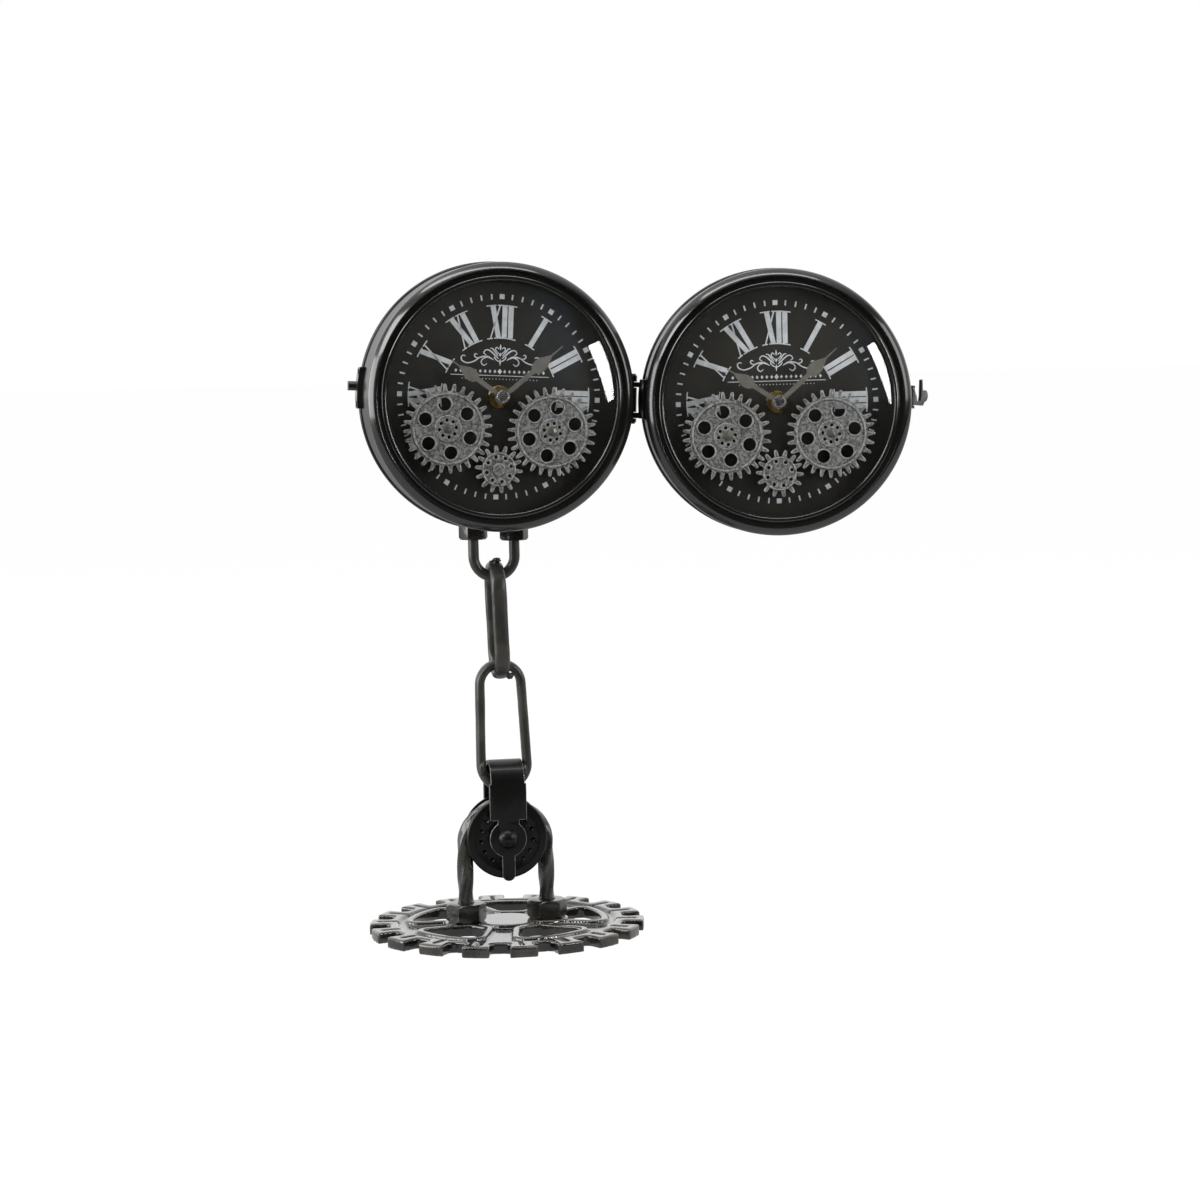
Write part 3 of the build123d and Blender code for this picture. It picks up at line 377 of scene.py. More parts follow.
def antique(
    name,
    bright,
    stain,
    metallic,
    roughness,
    stain_scale=220.0,
    amount=0.75,
    depth=0.00008,
    edges=0.7,
):
    """Old metal, stained at random, with painted shade in its hollows and bright edges."""
    finish, steps, shader = new_finish(name)
    skin = put_group(
        steps,
        antique_mottle,
        Bright=colour(bright),
        Stain=colour(stain),
        Stain_Scale=stain_scale,
        Stain_Amount=amount,
        Fleck_Scale=1900.0,
    )
    edge = put_group(
        steps,
        rubbed_edges,
        Colour=skin["Colour"],
        Bare=colour("bdbcb6"),
        Edge=mark_of(steps, "edge"),
        Break_Scale=400.0,
        Amount=edges,
    )
    # Painted shade: where the mesh lies sunk (hollow mark), the colour is blended towards the stain colour,
    # in place of shade in the hollows
    sunk = steps.times(mark_of(steps, "hollow"), 0.85)
    steps.send(steps.blend(sunk, edge["Colour"], colour(stain)), shader.inputs["Base Color"])
    shader.inputs["Metallic"].default_value = metallic
    rough = steps.plus(roughness, steps.times(skin["Stained"], 0.25))
    steps.send(rough, shader.inputs["Roughness"])
    bump(steps, shader, skin["Height"], 0.5, depth)
    return finish


def mottled(name, bright, stain, stain_scale, amount, fleck_scale, metallic, roughness, strength, depth):
    """Clean metal or metal ink, darker where it is stained. Roughness is a pair: clean and stained."""
    finish, steps, shader = new_finish(name)
    skin = put_group(
        steps,
        antique_mottle,
        Bright=colour(bright),
        Stain=colour(stain),
        Stain_Scale=stain_scale,
        Stain_Amount=amount,
        Fleck_Scale=fleck_scale,
    )
    steps.send(skin["Colour"], shader.inputs["Base Color"])
    steps.send(steps.remap(skin["Stained"], 0.0, 1.0, *roughness), shader.inputs["Roughness"])
    shader.inputs["Metallic"].default_value = metallic
    bump(steps, shader, skin["Height"], strength, depth)
    return finish


def dusted(name, coat, dust, cloud_scale, dust_amount, grain_scale, gloss, gloss_spread, strength, grain):
    """A plain coat or moulded surface with clouds of dust and a fine grain. Returns its shader too."""
    finish, steps, shader = new_finish(name)
    skin = put_group(
        steps,
        sprayed_coat,
        Coat=colour(coat),
        Dust=colour(dust),
        Cloud_Scale=cloud_scale,
        Dust_Amount=dust_amount,
        Grain_Scale=grain_scale,
        Gloss=gloss,
        Gloss_Spread=gloss_spread,
    )
    steps.send(skin["Colour"], shader.inputs["Base Color"])
    steps.send(skin["Roughness"], shader.inputs["Roughness"])
    bump(steps, shader, skin["Height"], strength, grain)
    return finish, shader


def plastic(name, body, gloss, grain=0.00003):
    """Moulded plastic with a fine spark grain."""
    return dusted(name, body, "5a5852", 35.0, 0.12, 2200.0, gloss, 0.08, 0.3, grain)[0]


drum_paint = painted("satin black drum paint", "171613", "45413a", 0.34, grain=0.000006, worn=0.3, clear=0.25)
drum_worn = painted("satin black drum paint, rubbed", "3a3832", "5c574c", 0.28, worn=0.4, rubbed=1.0)
bezel_paint = painted("bezel black", "131311", "24221e", 0.2, grain=0.000004, dust_amount=0.1, clear=1.0)
chain_paint = painted(
    "chain black", "2a2925", "47443c", 0.4, grain=0.00004, worn=0.45, dust_amount=0.5, clear=0.35
)
arch_paint = painted("arch black", "191916", "3f3c33", 0.26, dust_amount=0.3, clear=0.7)
nut_paint = painted("nut black", "0f0f0d", "3a362d", 0.26, dust_amount=0.4, clear=0.6)
nut_worn = painted("nut black, rubbed", "2c2b26", "5a554a", 0.3, worn=0.7, rubbed=1.0)
pulley_paint = painted(
    "pulley black", "0d0d0c", "1c1b19", 0.34, grain=0.000006, dust_amount=0.1, clear=0.15, shine=0.25
)
pulley_worn = painted("pulley black, rubbed", "33322e", "55524a", 0.3, bare="8d8b84", worn=0.6, rubbed=1.0)
latch_paint = painted("latch black", "0f0f0e", "2c2a25", 0.3, dust_amount=0.25, clear=0.5)
latch_worn = painted("latch black, rubbed", "2a2925", "4c4941", 0.32, worn=0.6, rubbed=1.0)
base_iron = cast("cast base black", "0c0c0b", "3d372d", "6b665c", 0.16, 620.0, 0.2, 0.0001, 0.5)
pewter = antique("pewter gear", "909290", "1f1e1b", 0.4, 0.36, stain_scale=520.0, depth=0.00012)
hand_grey = antique(
    "grey hand", "66645d", "504e47", 0.2, 0.5, stain_scale=120.0, amount=0.5, depth=0.00002, edges=0.2
)
post_steel = antique("steel post", "8a867d", "4a473f", 0.9, 0.34, amount=0.4, depth=0.00003)
blackened = antique("blackened screw", "3a3a37", "1c1c1a", 0.8, 0.4, amount=0.5, depth=0.00003, edges=0.5)
movement_plastic = plastic("movement plastic", "1a1a19", 0.5)
knob_plastic = plastic("knob plastic", "141413", 0.28)
switch_plastic = plastic("switch plastic", "d8d7d2", 0.35)
cover_plastic = plastic("cover plastic", "1c1c1b", 0.58, grain=0.00008)
seal_rubber = plastic("seal rubber", "101010", 0.7, grain=0.00005)

brass = mottled("brass nut", "d0b26a", "937641", 260.0, 0.5, 2500.0, 1.0, (0.22, 0.45), 0.3, 0.00002)
cap_steel = mottled("polished cap", "d2d0cb", "a5a199", 500.0, 0.3, 3000.0, 1.0, (0.24, 0.36), 0.15, 0.00001)
silver_print = mottled(
    "dial silver print", "dde1e4", "b2b6b8", 160.0, 0.5, 5000.0, 0.35, (0.45, 0.45), 0.2, 0.00001
)
dial_black, shader = dusted("dial black", "282723", "35332e", 18.0, 0.35, 4500.0, 0.46, 0.1, 0.2, 0.00002)
shader.inputs["Specular IOR Level"].default_value = 0.25
cell_jacket, shader = dusted("cell jacket", "2c3a44", "55636c", 90.0, 0.2, 2600.0, 0.26, 0.1, 0.2, 0.00002)
shader.inputs["Metallic"].default_value = 0.2

# Domed glass: shadow and diffuse rays pass straight through, so the dial gets its light
clear_glass, steps, shader = new_finish("clear glass")
shader.inputs["Base Color"].default_value = (1.0, 1.0, 1.0, 1.0)
shader.inputs["Transmission Weight"].default_value = 1.0
shader.inputs["IOR"].default_value = 1.5
smear = steps.noise(steps.own_place(), 30.0, 3.0)
steps.send(steps.remap(smear, 0.5, 0.8, 0.0, 0.04), shader.inputs["Roughness"])
light_path = steps.add("ShaderNodeLightPath").outputs
passing = steps.calc("MAXIMUM", light_path["Is Shadow Ray"], light_path["Is Diffuse Ray"])
clear = steps.add("ShaderNodeBsdfTransparent")
mixed = steps.add("ShaderNodeMixShader", {0: passing, 1: shader.outputs["BSDF"], 2: clear.outputs["BSDF"]})
output = [node for node in clear_glass.node_tree.nodes if node.type == "OUTPUT_MATERIAL"][0]
steps.send(mixed.outputs["Shader"], output.inputs["Surface"])


# Ways to make a piece


def linked(name, data):
    """A new object in the scene."""
    thing = bpy.data.objects.new(name, data)
    bpy.context.scene.collection.objects.link(thing)
    return thing


def mark_relief(mesh, full, passes=2):
    """Stores how far each point stands out (edge) or lies sunk (hollow), 1 at the full lift in metres."""
    count = len(mesh.vertices)
    spots = np.empty(count * 3)
    mesh.vertices.foreach_get("co", spots)
    spots = spots.reshape(-1, 3)
    normals = np.empty(count * 3)
    mesh.vertices.foreach_get("normal", normals)
    normals = normals.reshape(-1, 3)
    ends = np.empty(len(mesh.edges) * 2, dtype=np.int64)
    mesh.edges.foreach_get("vertices", ends)
    first, second = ends.reshape(-1, 2).T
    number = np.maximum(np.bincount(first, minlength=count) + np.bincount(second, minlength=count), 1)

    def around(values):
        columns = [
            np.bincount(first, column[second], count) + np.bincount(second, column[first], count)
            for column in values.T
        ]
        return (np.array(columns) / number).T

    lift = ((spots - around(spots)) * normals).sum(axis=1)
    for _ in range(passes):
        lift = (lift + around(lift[:, None])[:, 0]) / 2
    for title, marks in (("edge", lift), ("hollow", -lift)):
        attribute = mesh.attributes.new(title, "FLOAT", "POINT")
        attribute.data.foreach_set("value", np.clip(marks / full, 0.0, 1.0).astype(np.float32))


def plain_mesh(source, name, place=None, finish=None):
    """Turns an object with live modifiers into a plain mesh object at the origin, and removes the source."""
    bpy.context.view_layer.update()
    graph = bpy.context.evaluated_depsgraph_get()
    mesh = bpy.data.meshes.new_from_object(source.evaluated_get(graph))
    bpy.data.objects.remove(source)
    if place is not None:
        mesh.transform(place)
    if finish is not None:
        mesh.materials.clear()
        mesh.materials.append(finish)
    mesh.name = name
    return linked(name, mesh)


def carried(piece, body, slot, *replaced):
    """Puts a finished piece on its body and hides the nodes that it stands for; its slot is not used."""
    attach(piece, body)
    if replaced:
        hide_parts(*replaced)
    return piece


def softened(node, finish, edge_finish, slot, width, body):
    """A copy of a CAD node with its edges rounded and rubbed, in place of the node."""
    mesh = nodes[node].data.copy()
    form = bmesh.new()
    form.from_mesh(mesh)
    bmesh.ops.remove_doubles(form, verts=form.verts, dist=1e-6)
    bmesh.ops.dissolve_limit(form, angle_limit=math.radians(0.6), verts=form.verts, edges=form.edges)
    for face in form.faces:
        face.material_index = 0
    form.to_mesh(mesh)
    form.free()
    mesh.materials.clear()
    mesh.materials.append(finish)
    mesh.materials.append(edge_finish)
    source = linked("source", mesh)
    bevel = source.modifiers.new("Round", "BEVEL")
    bevel.width = mm(width)
    bevel.segments = 3
    bevel.material = 1
    bevel.limit_method = "ANGLE"
    bevel.angle_limit = math.radians(32)
    piece = plain_mesh(source, "soft." + node)
    piece.data.shade_smooth()
    piece.data.set_sharp_from_angle(angle=math.radians(18))
    return carried(piece, body, slot, node)


def turned_piece(name, profile, place, finish, body, slot, *replaced, segments=40):
    """A round piece spun about its own Z from a profile of (radius, height) in millimetres."""
    form = bmesh.new()
    rings = []
    for radius, height in profile:
        if radius == 0:
            rings.append([form.verts.new(mm(0, 0, height))])
            continue
        ring = []
        for i in range(segments):
            angle = 2 * math.pi * i / segments
            ring.append(form.verts.new(mm(radius * math.cos(angle), radius * math.sin(angle), height)))
        rings.append(ring)
    for low, high in zip(rings, rings[1:]):
        for i in range(segments):
            j = (i + 1) % segments
            if len(low) == 1:
                form.faces.new((low[0], high[i], high[j]))
            elif len(high) == 1:
                form.faces.new((low[i], low[j], high[0]))
            else:
                form.faces.new((low[i], low[j], high[j], high[i]))
    bmesh.ops.remove_doubles(form, verts=form.verts, dist=1e-6)
    bmesh.ops.recalc_face_normals(form, faces=form.faces)
    mesh = bpy.data.meshes.new(name)
    form.to_mesh(mesh)
    form.free()
    mesh.transform(place)
    mesh.materials.append(finish)
    mesh.shade_smooth()
    mesh.set_sharp_from_angle(angle=math.radians(35))
    piece = linked(name, mesh)
    return carried(piece, body, slot, *replaced)


def cast_form(source, voxel, passes):
    """Rebuilds a form in small even faces and smooths it, as a casting is. Voxel in millimetres."""
    remesh = source.modifiers.new("Even", "REMESH")
    remesh.mode = "VOXEL"
    remesh.voxel_size = mm(voxel)
    relax = source.modifiers.new("Relax", "SMOOTH")
    relax.factor = 0.5
    relax.iterations = passes


def with_tree(source, tree, values):
    """Runs a Geometry Nodes tree on an object, with inputs given by their titles."""
    modifier = source.modifiers.new("Form", "NODES")
    modifier.node_group = tree
    known = {item.name: item.identifier for item in tree.interface.items_tree if item.in_out == "INPUT"}
    for title, value in values.items():
        modifier[known[title.replace("_", " ")]] = value
    return source


def blank():
    """An object with an empty mesh, for a tree that makes all its geometry."""
    return linked("source", bpy.data.meshes.new("source"))


def path_curve(knots, closed):
    """A Bezier path in metres from (point, back handle, forward handle) knots."""
    data = bpy.data.curves.new("path", "CURVE")
    data.dimensions = "3D"
    spline = data.splines.new("BEZIER")
    spline.bezier_points.add(len(knots) - 1)
    for point, (at, back, forward) in zip(spline.bezier_points, knots):
        point.handle_left_type = "FREE"
        point.handle_right_type = "FREE"
        point.co = at
        point.handle_left = back
        point.handle_right = forward
    spline.use_cyclic_u = closed
    return linked("path", data)


# Geometry Nodes: a forged bar along a path

GEOMETRY = "NodeSocketGeometry"
WHOLE = "NodeSocketInt"

steps, given, made = new_tree(
    "forged bar",
    "GeometryNodeTree",
    [
        ("Path", GEOMETRY, None),
        ("Spacing", FLOAT, 0.0012),
        ("Width", FLOAT, 0.01),
        ("Depth", FLOAT, 0.01),
        ("Squareness", FLOAT, 2.0),
        ("Turns", FLOAT, 0.0),
        ("Roll", FLOAT, 0.0),
        ("Lump", FLOAT, 0.0004),
        ("Lump Scale", FLOAT, 60.0),
        ("Seed", FLOAT, 0.0),
        ("Finish", "NodeSocketMaterial", None),
    ],
    [("Bar", GEOMETRY)],
)
knots = {"Curve": given["Path"], "Length": given["Spacing"]}
path = steps.add("GeometryNodeResampleCurve", knots, mode="LENGTH")
along = steps.add("GeometryNodeSplineParameter").outputs["Factor"]
turn = steps.plus(steps.times(along, given["Turns"]), given["Roll"])
tilted = steps.add("GeometryNodeSetCurveTilt", {"Curve": path.outputs[0], "Tilt": turn})
circle = steps.add("GeometryNodeCurvePrimitiveCircle", {"Resolution": 28, "Radius": 1.0})
spot = steps.add("GeometryNodeInputPosition").outputs[0]
parts = steps.parts(spot)
power = given["Squareness"]
across = steps.calc("POWER", steps.calc("ABSOLUTE", parts["X"]), power)
upward = steps.calc("POWER", steps.calc("ABSOLUTE", parts["Y"]), power)
reach = steps.calc("POWER", steps.plus(across, upward), steps.calc("DIVIDE", -1.0, power))
size = steps.xyz(X=given["Width"], Y=given["Depth"])
section_spot = steps.vector("MULTIPLY", steps.scaled(spot, reach), steps.scaled(size, 0.5))
section = steps.add(
    "GeometryNodeSetPosition", {"Geometry": circle.outputs["Curve"], "Position": section_spot}
)
bar = steps.add(
    "GeometryNodeCurveToMesh",
    {"Curve": tilted.outputs[0], "Profile Curve": section.outputs[0], "Fill Caps": True},
)
lumps = steps.add(
    "ShaderNodeTexNoise",
    {"Vector": spot, "W": given["Seed"], "Scale": given["Lump Scale"], "Detail": 2.0},
    noise_dimensions="4D",
)
rise = steps.times(steps.minus(lumps.outputs[0], 0.62), given["Lump"])
out = steps.scaled(steps.add("GeometryNodeInputNormal").outputs[0], rise)
lumpy = steps.add("GeometryNodeSetPosition", {"Geometry": bar.outputs[0], "Offset": out})
smooth = steps.add("GeometryNodeSetShadeSmooth", {"Geometry": lumpy.outputs[0]})
real = steps.add("GeometryNodeRealizeInstances", {"Geometry": smooth.outputs[0]})
coated = steps.add("GeometryNodeSetMaterial", {"Geometry": real.outputs[0], "Material": given["Finish"]})
steps.send(coated.outputs[0], made["Bar"])
forged_bar = steps.tree

# Geometry Nodes: a cast gear face, teeth, plate, ridge, hub and holes, lying in XY and rising along +Z

steps, given, made = new_tree(
    "cast gear",
    "GeometryNodeTree",
    [
        ("Teeth", WHOLE, 28),
        ("Root", FLOAT, 0.025),
        ("Tip", FLOAT, 0.03),
        ("Lag", FLOAT, 0.0),
        ("Plate", FLOAT, 0.0027),
        ("Rise", FLOAT, 0.0009),
        ("Ridge", FLOAT, 0.0233),
        ("Ridge Width", FLOAT, 0.0016),
        ("Holes", WHOLE, 6),
        ("Hole Circle", FLOAT, 0.0163),
        ("Hole Radius", FLOAT, 0.0044),
        ("Hub", FLOAT, 0.009),
        ("Pins", WHOLE, 8),
        ("Pin Circle", FLOAT, 0.0057),
        ("Pin Radius", FLOAT, 0.00125),
        ("Pin Lead", FLOAT, 0.0),
        ("Bore", FLOAT, 0.003),
        ("Finish", "NodeSocketMaterial", None),
    ],
    [("Gear", GEOMETRY)],
)
spot = steps.add("GeometryNodeInputPosition").outputs[0]
parts = steps.parts(spot)
angle = steps.calc("ARCTAN2", parts["Y"], parts["X"])
outline = steps.add(
    "GeometryNodeCurvePrimitiveCircle",
    {"Resolution": steps.times(given["Teeth"], 22), "Radius": 1.0},
)
count = steps.calc("DIVIDE", given["Teeth"], 2 * math.pi)
phase = steps.times(steps.plus(angle, given["Lag"]), count)
within = steps.calc("FRACT", steps.plus(phase, 0.5))
from_centre = steps.calc("ABSOLUTE", steps.minus(within, 0.5))
tooth = steps.add("ShaderNodeFloatCurve", {"Value": steps.times(from_centre, 2.0)})
shape = tooth.mapping.curves[0]
tooth_profile = (
    (0.0, 1.0),
    (0.14, 0.985),
    (0.27, 0.9),
    (0.37, 0.7),
    (0.46, 0.36),
    (0.56, 0.08),
    (1.0, 0.0),
)
shape.points[0].location = tooth_profile[0]
shape.points[1].location = tooth_profile[-1]
for knot in tooth_profile[1:-1]:
    shape.points.new(*knot)
tooth.mapping.update()
tooth_height = steps.minus(given["Tip"], given["Root"])
reach = steps.plus(given["Root"], steps.times(tooth.outputs[0], tooth_height))
toothed_spot = steps.scaled(spot, reach)
toothed = steps.add(
    "GeometryNodeSetPosition", {"Geometry": outline.outputs["Curve"], "Position": toothed_spot}
)


def circle_of_circles(number, circle_radius, radius, lead):
    """Round holes on a circle, as curves."""
    ring_points = steps.add("GeometryNodeMeshCircle", {"Vertices": number, "Radius": circle_radius})
    turned_ring = steps.add(
        "GeometryNodeTransform",
        {"Geometry": ring_points.outputs[0], "Rotation": steps.xyz(Z=lead)},
    )
    feeds = {"Points": turned_ring.outputs[0], "Instance": round_curve(radius, 20)}
    many = steps.add("GeometryNodeInstanceOnPoints", feeds)
    return steps.add("GeometryNodeRealizeInstances", {"Geometry": many.outputs[0]}).outputs[0]


def round_curve(radius, number=64):
    """A circle with a number of points."""
    feeds = {"Resolution": number, "Radius": radius}
    return steps.add("GeometryNodeCurvePrimitiveCircle", feeds).outputs["Curve"]


def joined(*pieces):
    """Several geometries as one."""
    node = steps.add("GeometryNodeJoinGeometry")
    for piece in pieces:
        steps.send(piece, node.inputs[0])
    return node.outputs[0]


def slab(outline_curves, low, high):
    """A closed plate cut out by curves, between two heights."""
    filled = steps.add("GeometryNodeFillCurve", {0: outline_curves}, mode="NGONS")
    bottom = steps.add(
        "GeometryNodeTransform", {"Geometry": filled.outputs[0], "Translation": steps.xyz(Z=low)}
    )
    height = steps.minus(high, low)
    feeds = {"Mesh": bottom.outputs[0], "Offset": steps.xyz(Z=1.0), "Offset Scale": height}
    raised = steps.add("GeometryNodeExtrudeMesh", {**feeds, "Individual": False})
    under = steps.add("GeometryNodeFlipFaces", {"Mesh": bottom.outputs[0]})
    whole = joined(raised.outputs["Mesh"], under.outputs[0])
    return steps.add("GeometryNodeMergeByDistance", {"Geometry": whole, "Distance": 1e-6}).outputs[0]


pins = circle_of_circles(given["Pins"], given["Pin Circle"], given["Pin Radius"], given["Pin Lead"])
holes = circle_of_circles(given["Holes"], given["Hole Circle"], given["Hole Radius"], 0.0)
plate = slab(joined(toothed.outputs[0], holes, pins, round_curve(given["Bore"], 24)), 0.0, given["Plate"])
top = steps.plus(given["Plate"], given["Rise"])
sunk = steps.minus(given["Plate"], 0.0002)
half_ridge = steps.times(given["Ridge Width"], 0.5)
ridge = slab(
    joined(
        round_curve(steps.plus(given["Ridge"], half_ridge), 96),
        round_curve(steps.minus(given["Ridge"], half_ridge), 96),
    ),
    sunk,
    top,
)
hub = slab(joined(round_curve(given["Hub"]), pins, round_curve(given["Bore"], 24)), sunk, top)
lip = circle_of_circles(
    given["Holes"], given["Hole Circle"], steps.plus(given["Hole Radius"], 0.0009), 0.0
)
lips = slab(joined(lip, holes), sunk, steps.minus(top, 0.0004))
real = steps.add("GeometryNodeRealizeInstances", {"Geometry": joined(plate, ridge, hub, lips)})
coated = steps.add("GeometryNodeSetMaterial", {"Geometry": real.outputs[0], "Material": given["Finish"]})
steps.send(coated.outputs[0], made["Gear"])
cast_gear = steps.tree

# Geometry Nodes: flat marks of one size round a circle, some of them left out

steps, given, made = new_tree(
    "minute marks",
    "GeometryNodeTree",
    [
        ("Count", WHOLE, 60),
        ("Circle", FLOAT, 0.068),
        ("Tick Width", FLOAT, 0.0011),
        ("Tick Length", FLOAT, 0.0036),
        ("Square", FLOAT, 0.0034),
        ("Every", WHOLE, 5),
        ("Film", FLOAT, 0.00006),
        ("Finish", "NodeSocketMaterial", None),
    ],
    [("Marks", GEOMETRY)],
)
ring_points = steps.add("GeometryNodeMeshCircle", {"Vertices": given["Count"], "Radius": given["Circle"]})
parts = steps.parts(steps.add("GeometryNodeInputPosition").outputs[0])
facing = steps.xyz(Z=steps.calc("ARCTAN2", parts["Y"], parts["X"]))
number = steps.add("GeometryNodeInputIndex").outputs[0]
is_hour = steps.calc("LESS_THAN", steps.calc("MODULO", number, given["Every"]), 0.5)


def marks_of(width, length, chosen):
    """Small thin blocks on the chosen points, turned to the middle."""
    block = steps.add("GeometryNodeMeshCube", {"Size": steps.xyz(X=length, Y=width, Z=given["Film"])})
    feeds = {"Points": ring_points.outputs[0], "Selection": chosen, "Instance": block.outputs[0]}
    return steps.add("GeometryNodeInstanceOnPoints", {**feeds, "Rotation": facing}).outputs[0]


ticks = marks_of(given["Tick Width"], given["Tick Length"], steps.minus(1.0, is_hour))
squares = marks_of(given["Square"], given["Square"], is_hour)
real = steps.add("GeometryNodeRealizeInstances", {"Geometry": joined(ticks, squares)})
coated = steps.add("GeometryNodeSetMaterial", {"Geometry": real.outputs[0], "Material": given["Finish"]})
steps.send(coated.outputs[0], made["Marks"])
minute_marks = steps.tree


# Stand


def arc_knots(centre, radius, first, last):
    """Bezier knots of an arc in the XZ plane, in quarter turns or less, angles in degrees."""
    number = max(1, math.ceil(abs(last - first) / 90))
    step = math.radians((last - first) / number)
    pull = 4 / 3 * math.tan(step / 4) * radius
    knots = []
    for i in range(number + 1):
        angle = math.radians(first) + i * step
        at = centre + radius * Vector((math.cos(angle), 0, math.sin(angle)))
        along = pull * Vector((-math.sin(angle), 0, math.cos(angle)))
        knots.append([at, at - along, at + along])
    return knots


def straightened(knots, closed):
    """Makes the runs between arcs straight, by pointing the outer handles at each other."""
    number = len(knots)
    for i in range(number if closed else number - 1):
        a, b = knots[i], knots[(i + 1) % number]
        if a[2] is None or b[1] is None:
            third = (b[0] - a[0]) / 3
            a[2] = a[0] + third
            b[1] = b[0] - third
    return knots


def free_ends(knots):
    """Leaves the outer handles of an arc to be set by straightened()."""
    knots[0][1] = None
    knots[-1][2] = None
    return knots


def legged_arc(middle, radius, centre_height, end_height, last_angle):
    """A path of an arc from its left side, with two straight legs to a height. Sizes in millimetres."""
    knots = free_ends(arc_knots(mm(middle, 0, centre_height), mm(radius), 180, last_angle))
    near = mm(middle - radius, 0, end_height)
    far = mm(middle + radius, 0, end_height)
    return path_curve(straightened([[near, near, None], *knots, [far, None, far]], False), False)


arch_path = legged_arc(middle=0, radius=28.0, centre_height=59.0, end_height=1.6, last_angle=0)
with_tree(
    arch_path,
    forged_bar,
    dict(
        Spacing=0.001,
        Width=mm(9.5),
        Depth=mm(9.5),
        Squareness=4.4,
        Turns=2 * math.pi * 1.75,
        Lump=0.0002,
        Lump_Scale=70.0,
        Finish=arch_paint,
    ),
)
arch = plain_mesh(arch_path, "twisted_bar")
mark_relief(arch.data, 0.00035)
carried(arch, "stand", "bar_steel", "twisted_arch")


link_width = 38.4
link_bar = 6.8


def link_piece(name, node, length, top_bend, spot, lean, edge_on, seed):
    """A long link bent from an oval bar, standing on its spot."""
    bend = (link_width - link_bar) / 2
    low = link_bar / 2 + bend
    under = free_ends(arc_knots(mm(0, 0, low), mm(bend), 180, 360))
    over = free_ends(arc_knots(mm(0, 0, length - link_bar / 2 - top_bend), mm(top_bend), 0, 180))
    source = path_curve(straightened(under + over, True), True)
    with_tree(
        source,
        forged_bar,
        dict(
            Width=mm(10.4),
            Depth=mm(6.6),
            Squareness=2.5,
            Lump=0.0007,
            Lump_Scale=55.0,
            Seed=seed,
            Finish=chain_paint,
        ),
    )
    turn = Matrix.Rotation(math.pi / 2, 4, "Z") if edge_on else Matrix.Identity(4)
    place = Matrix.Translation(spot) @ Matrix.Rotation(math.radians(lean), 4, "Y") @ turn
    return carried(plain_mesh(source, name, place), "stand", "link_black", node)


link_piece("lower_chain_link", "lower_link", 91.6, 14.2, mm(0.9, 0, 96.0), -1.3, False, 3.0)
link_piece("upper_chain_link", "upper_link", 80.8, 15.8, mm(-0.7, 0, 173.6), -1.7, True, 8.0)

u_path = legged_arc(middle=-3.0, radius=14.0, centre_height=257.7, end_height=289.4, last_angle=360)
with_tree(
    u_path,
    forged_bar,
    dict(
        Width=mm(7.3),
        Depth=mm(7.3),
        Squareness=2.0,
        Lump=0.0003,
        Lump_Scale=90.0,
        Seed=5.0,
        Finish=chain_paint,
    ),
)
carried(plain_mesh(u_path, "hanging_u_bolt"), "stand", "link_black", "top_u_bolt")

for node, finish, edge_finish, slot, width, body in (
    ("base_nuts", nut_paint, nut_worn, "nut_steel", 0.7, "stand"),
    ("u_bolt_nuts", nut_paint, nut_worn, "nut_steel", 0.5, "stand"),
    ("pulley_strap", pulley_paint, pulley_worn, "pulley_black", 0.45, "stand"),
    ("pulley_wheel", pulley_paint, pulley_paint, "pulley_black", 0.4, "stand"),
    ("pulley_axle", pulley_paint, pulley_paint, "pulley_black", 0.4, "stand"),
    ("left_drum", drum_paint, drum_worn, "drum_black", 0.3, "stand"),
    ("right_drum", drum_paint, drum_worn, "drum_black", 0.3, "right_clock"),
    ("left_hinge_leaf", latch_paint, latch_worn, "latch_black", 0.25, "stand"),
    ("hinge_pin", latch_paint, latch_worn, "latch_black", 0.3, "stand"),
    ("catch_plate", latch_paint, latch_worn, "latch_black", 0.35, "stand"),
    ("right_hinge_leaf", latch_paint, latch_worn, "latch_black", 0.25, "right_clock"),
    ("hook_plate", latch_paint, latch_worn, "latch_black", 0.3, "right_clock"),
    ("latch_hook", latch_paint, latch_worn, "latch_black", 0.6, "hook"),
):
    softened(node, finish, edge_finish, slot, width, body)

# Weld lumps where the chain pieces touch
form = bmesh.new()
for centre, size in (
    ((-5.2, -5.5, 253.2), (2.4, 1.8, 2.0)),
    ((-1.6, -3.0, 255.2), (2.6, 2.4, 1.6)),
    ((-3.6, -5.6, 177.0), (3.2, 2.0, 1.9)),
    ((4.6, -5.2, 176.2), (3.0, 2.0, 2.2)),
    ((-15.4, -5.4, 113.0), (1.9, 1.8, 4.4)),
    ((13.9, -5.0, 111.5), (2.0, 1.8, 3.4)),
    ((-15.0, 5.4, 113.0), (1.9, 1.8, 4.0)),
    ((13.9, 5.4, 112.0), (2.0, 1.8, 3.6)),
):
    lump = bmesh.ops.create_icosphere(form, subdivisions=3, radius=1.0)["verts"]
    for point in lump:
        swell = 1 + 0.45 * noise.noise(point.co * 1.9 + Vector(centre))
        spot = [middle + swell * reach * part for middle, reach, part in zip(centre, size, point.co)]
        point.co = mm(*spot)
weld_mesh = bpy.data.meshes.new("weld_lumps")
form.to_mesh(weld_mesh)
form.free()
weld_mesh.materials.append(chain_paint)
weld_mesh.shade_smooth()
welds = linked("weld_lumps", weld_mesh)
carried(welds, "stand", "link_black")

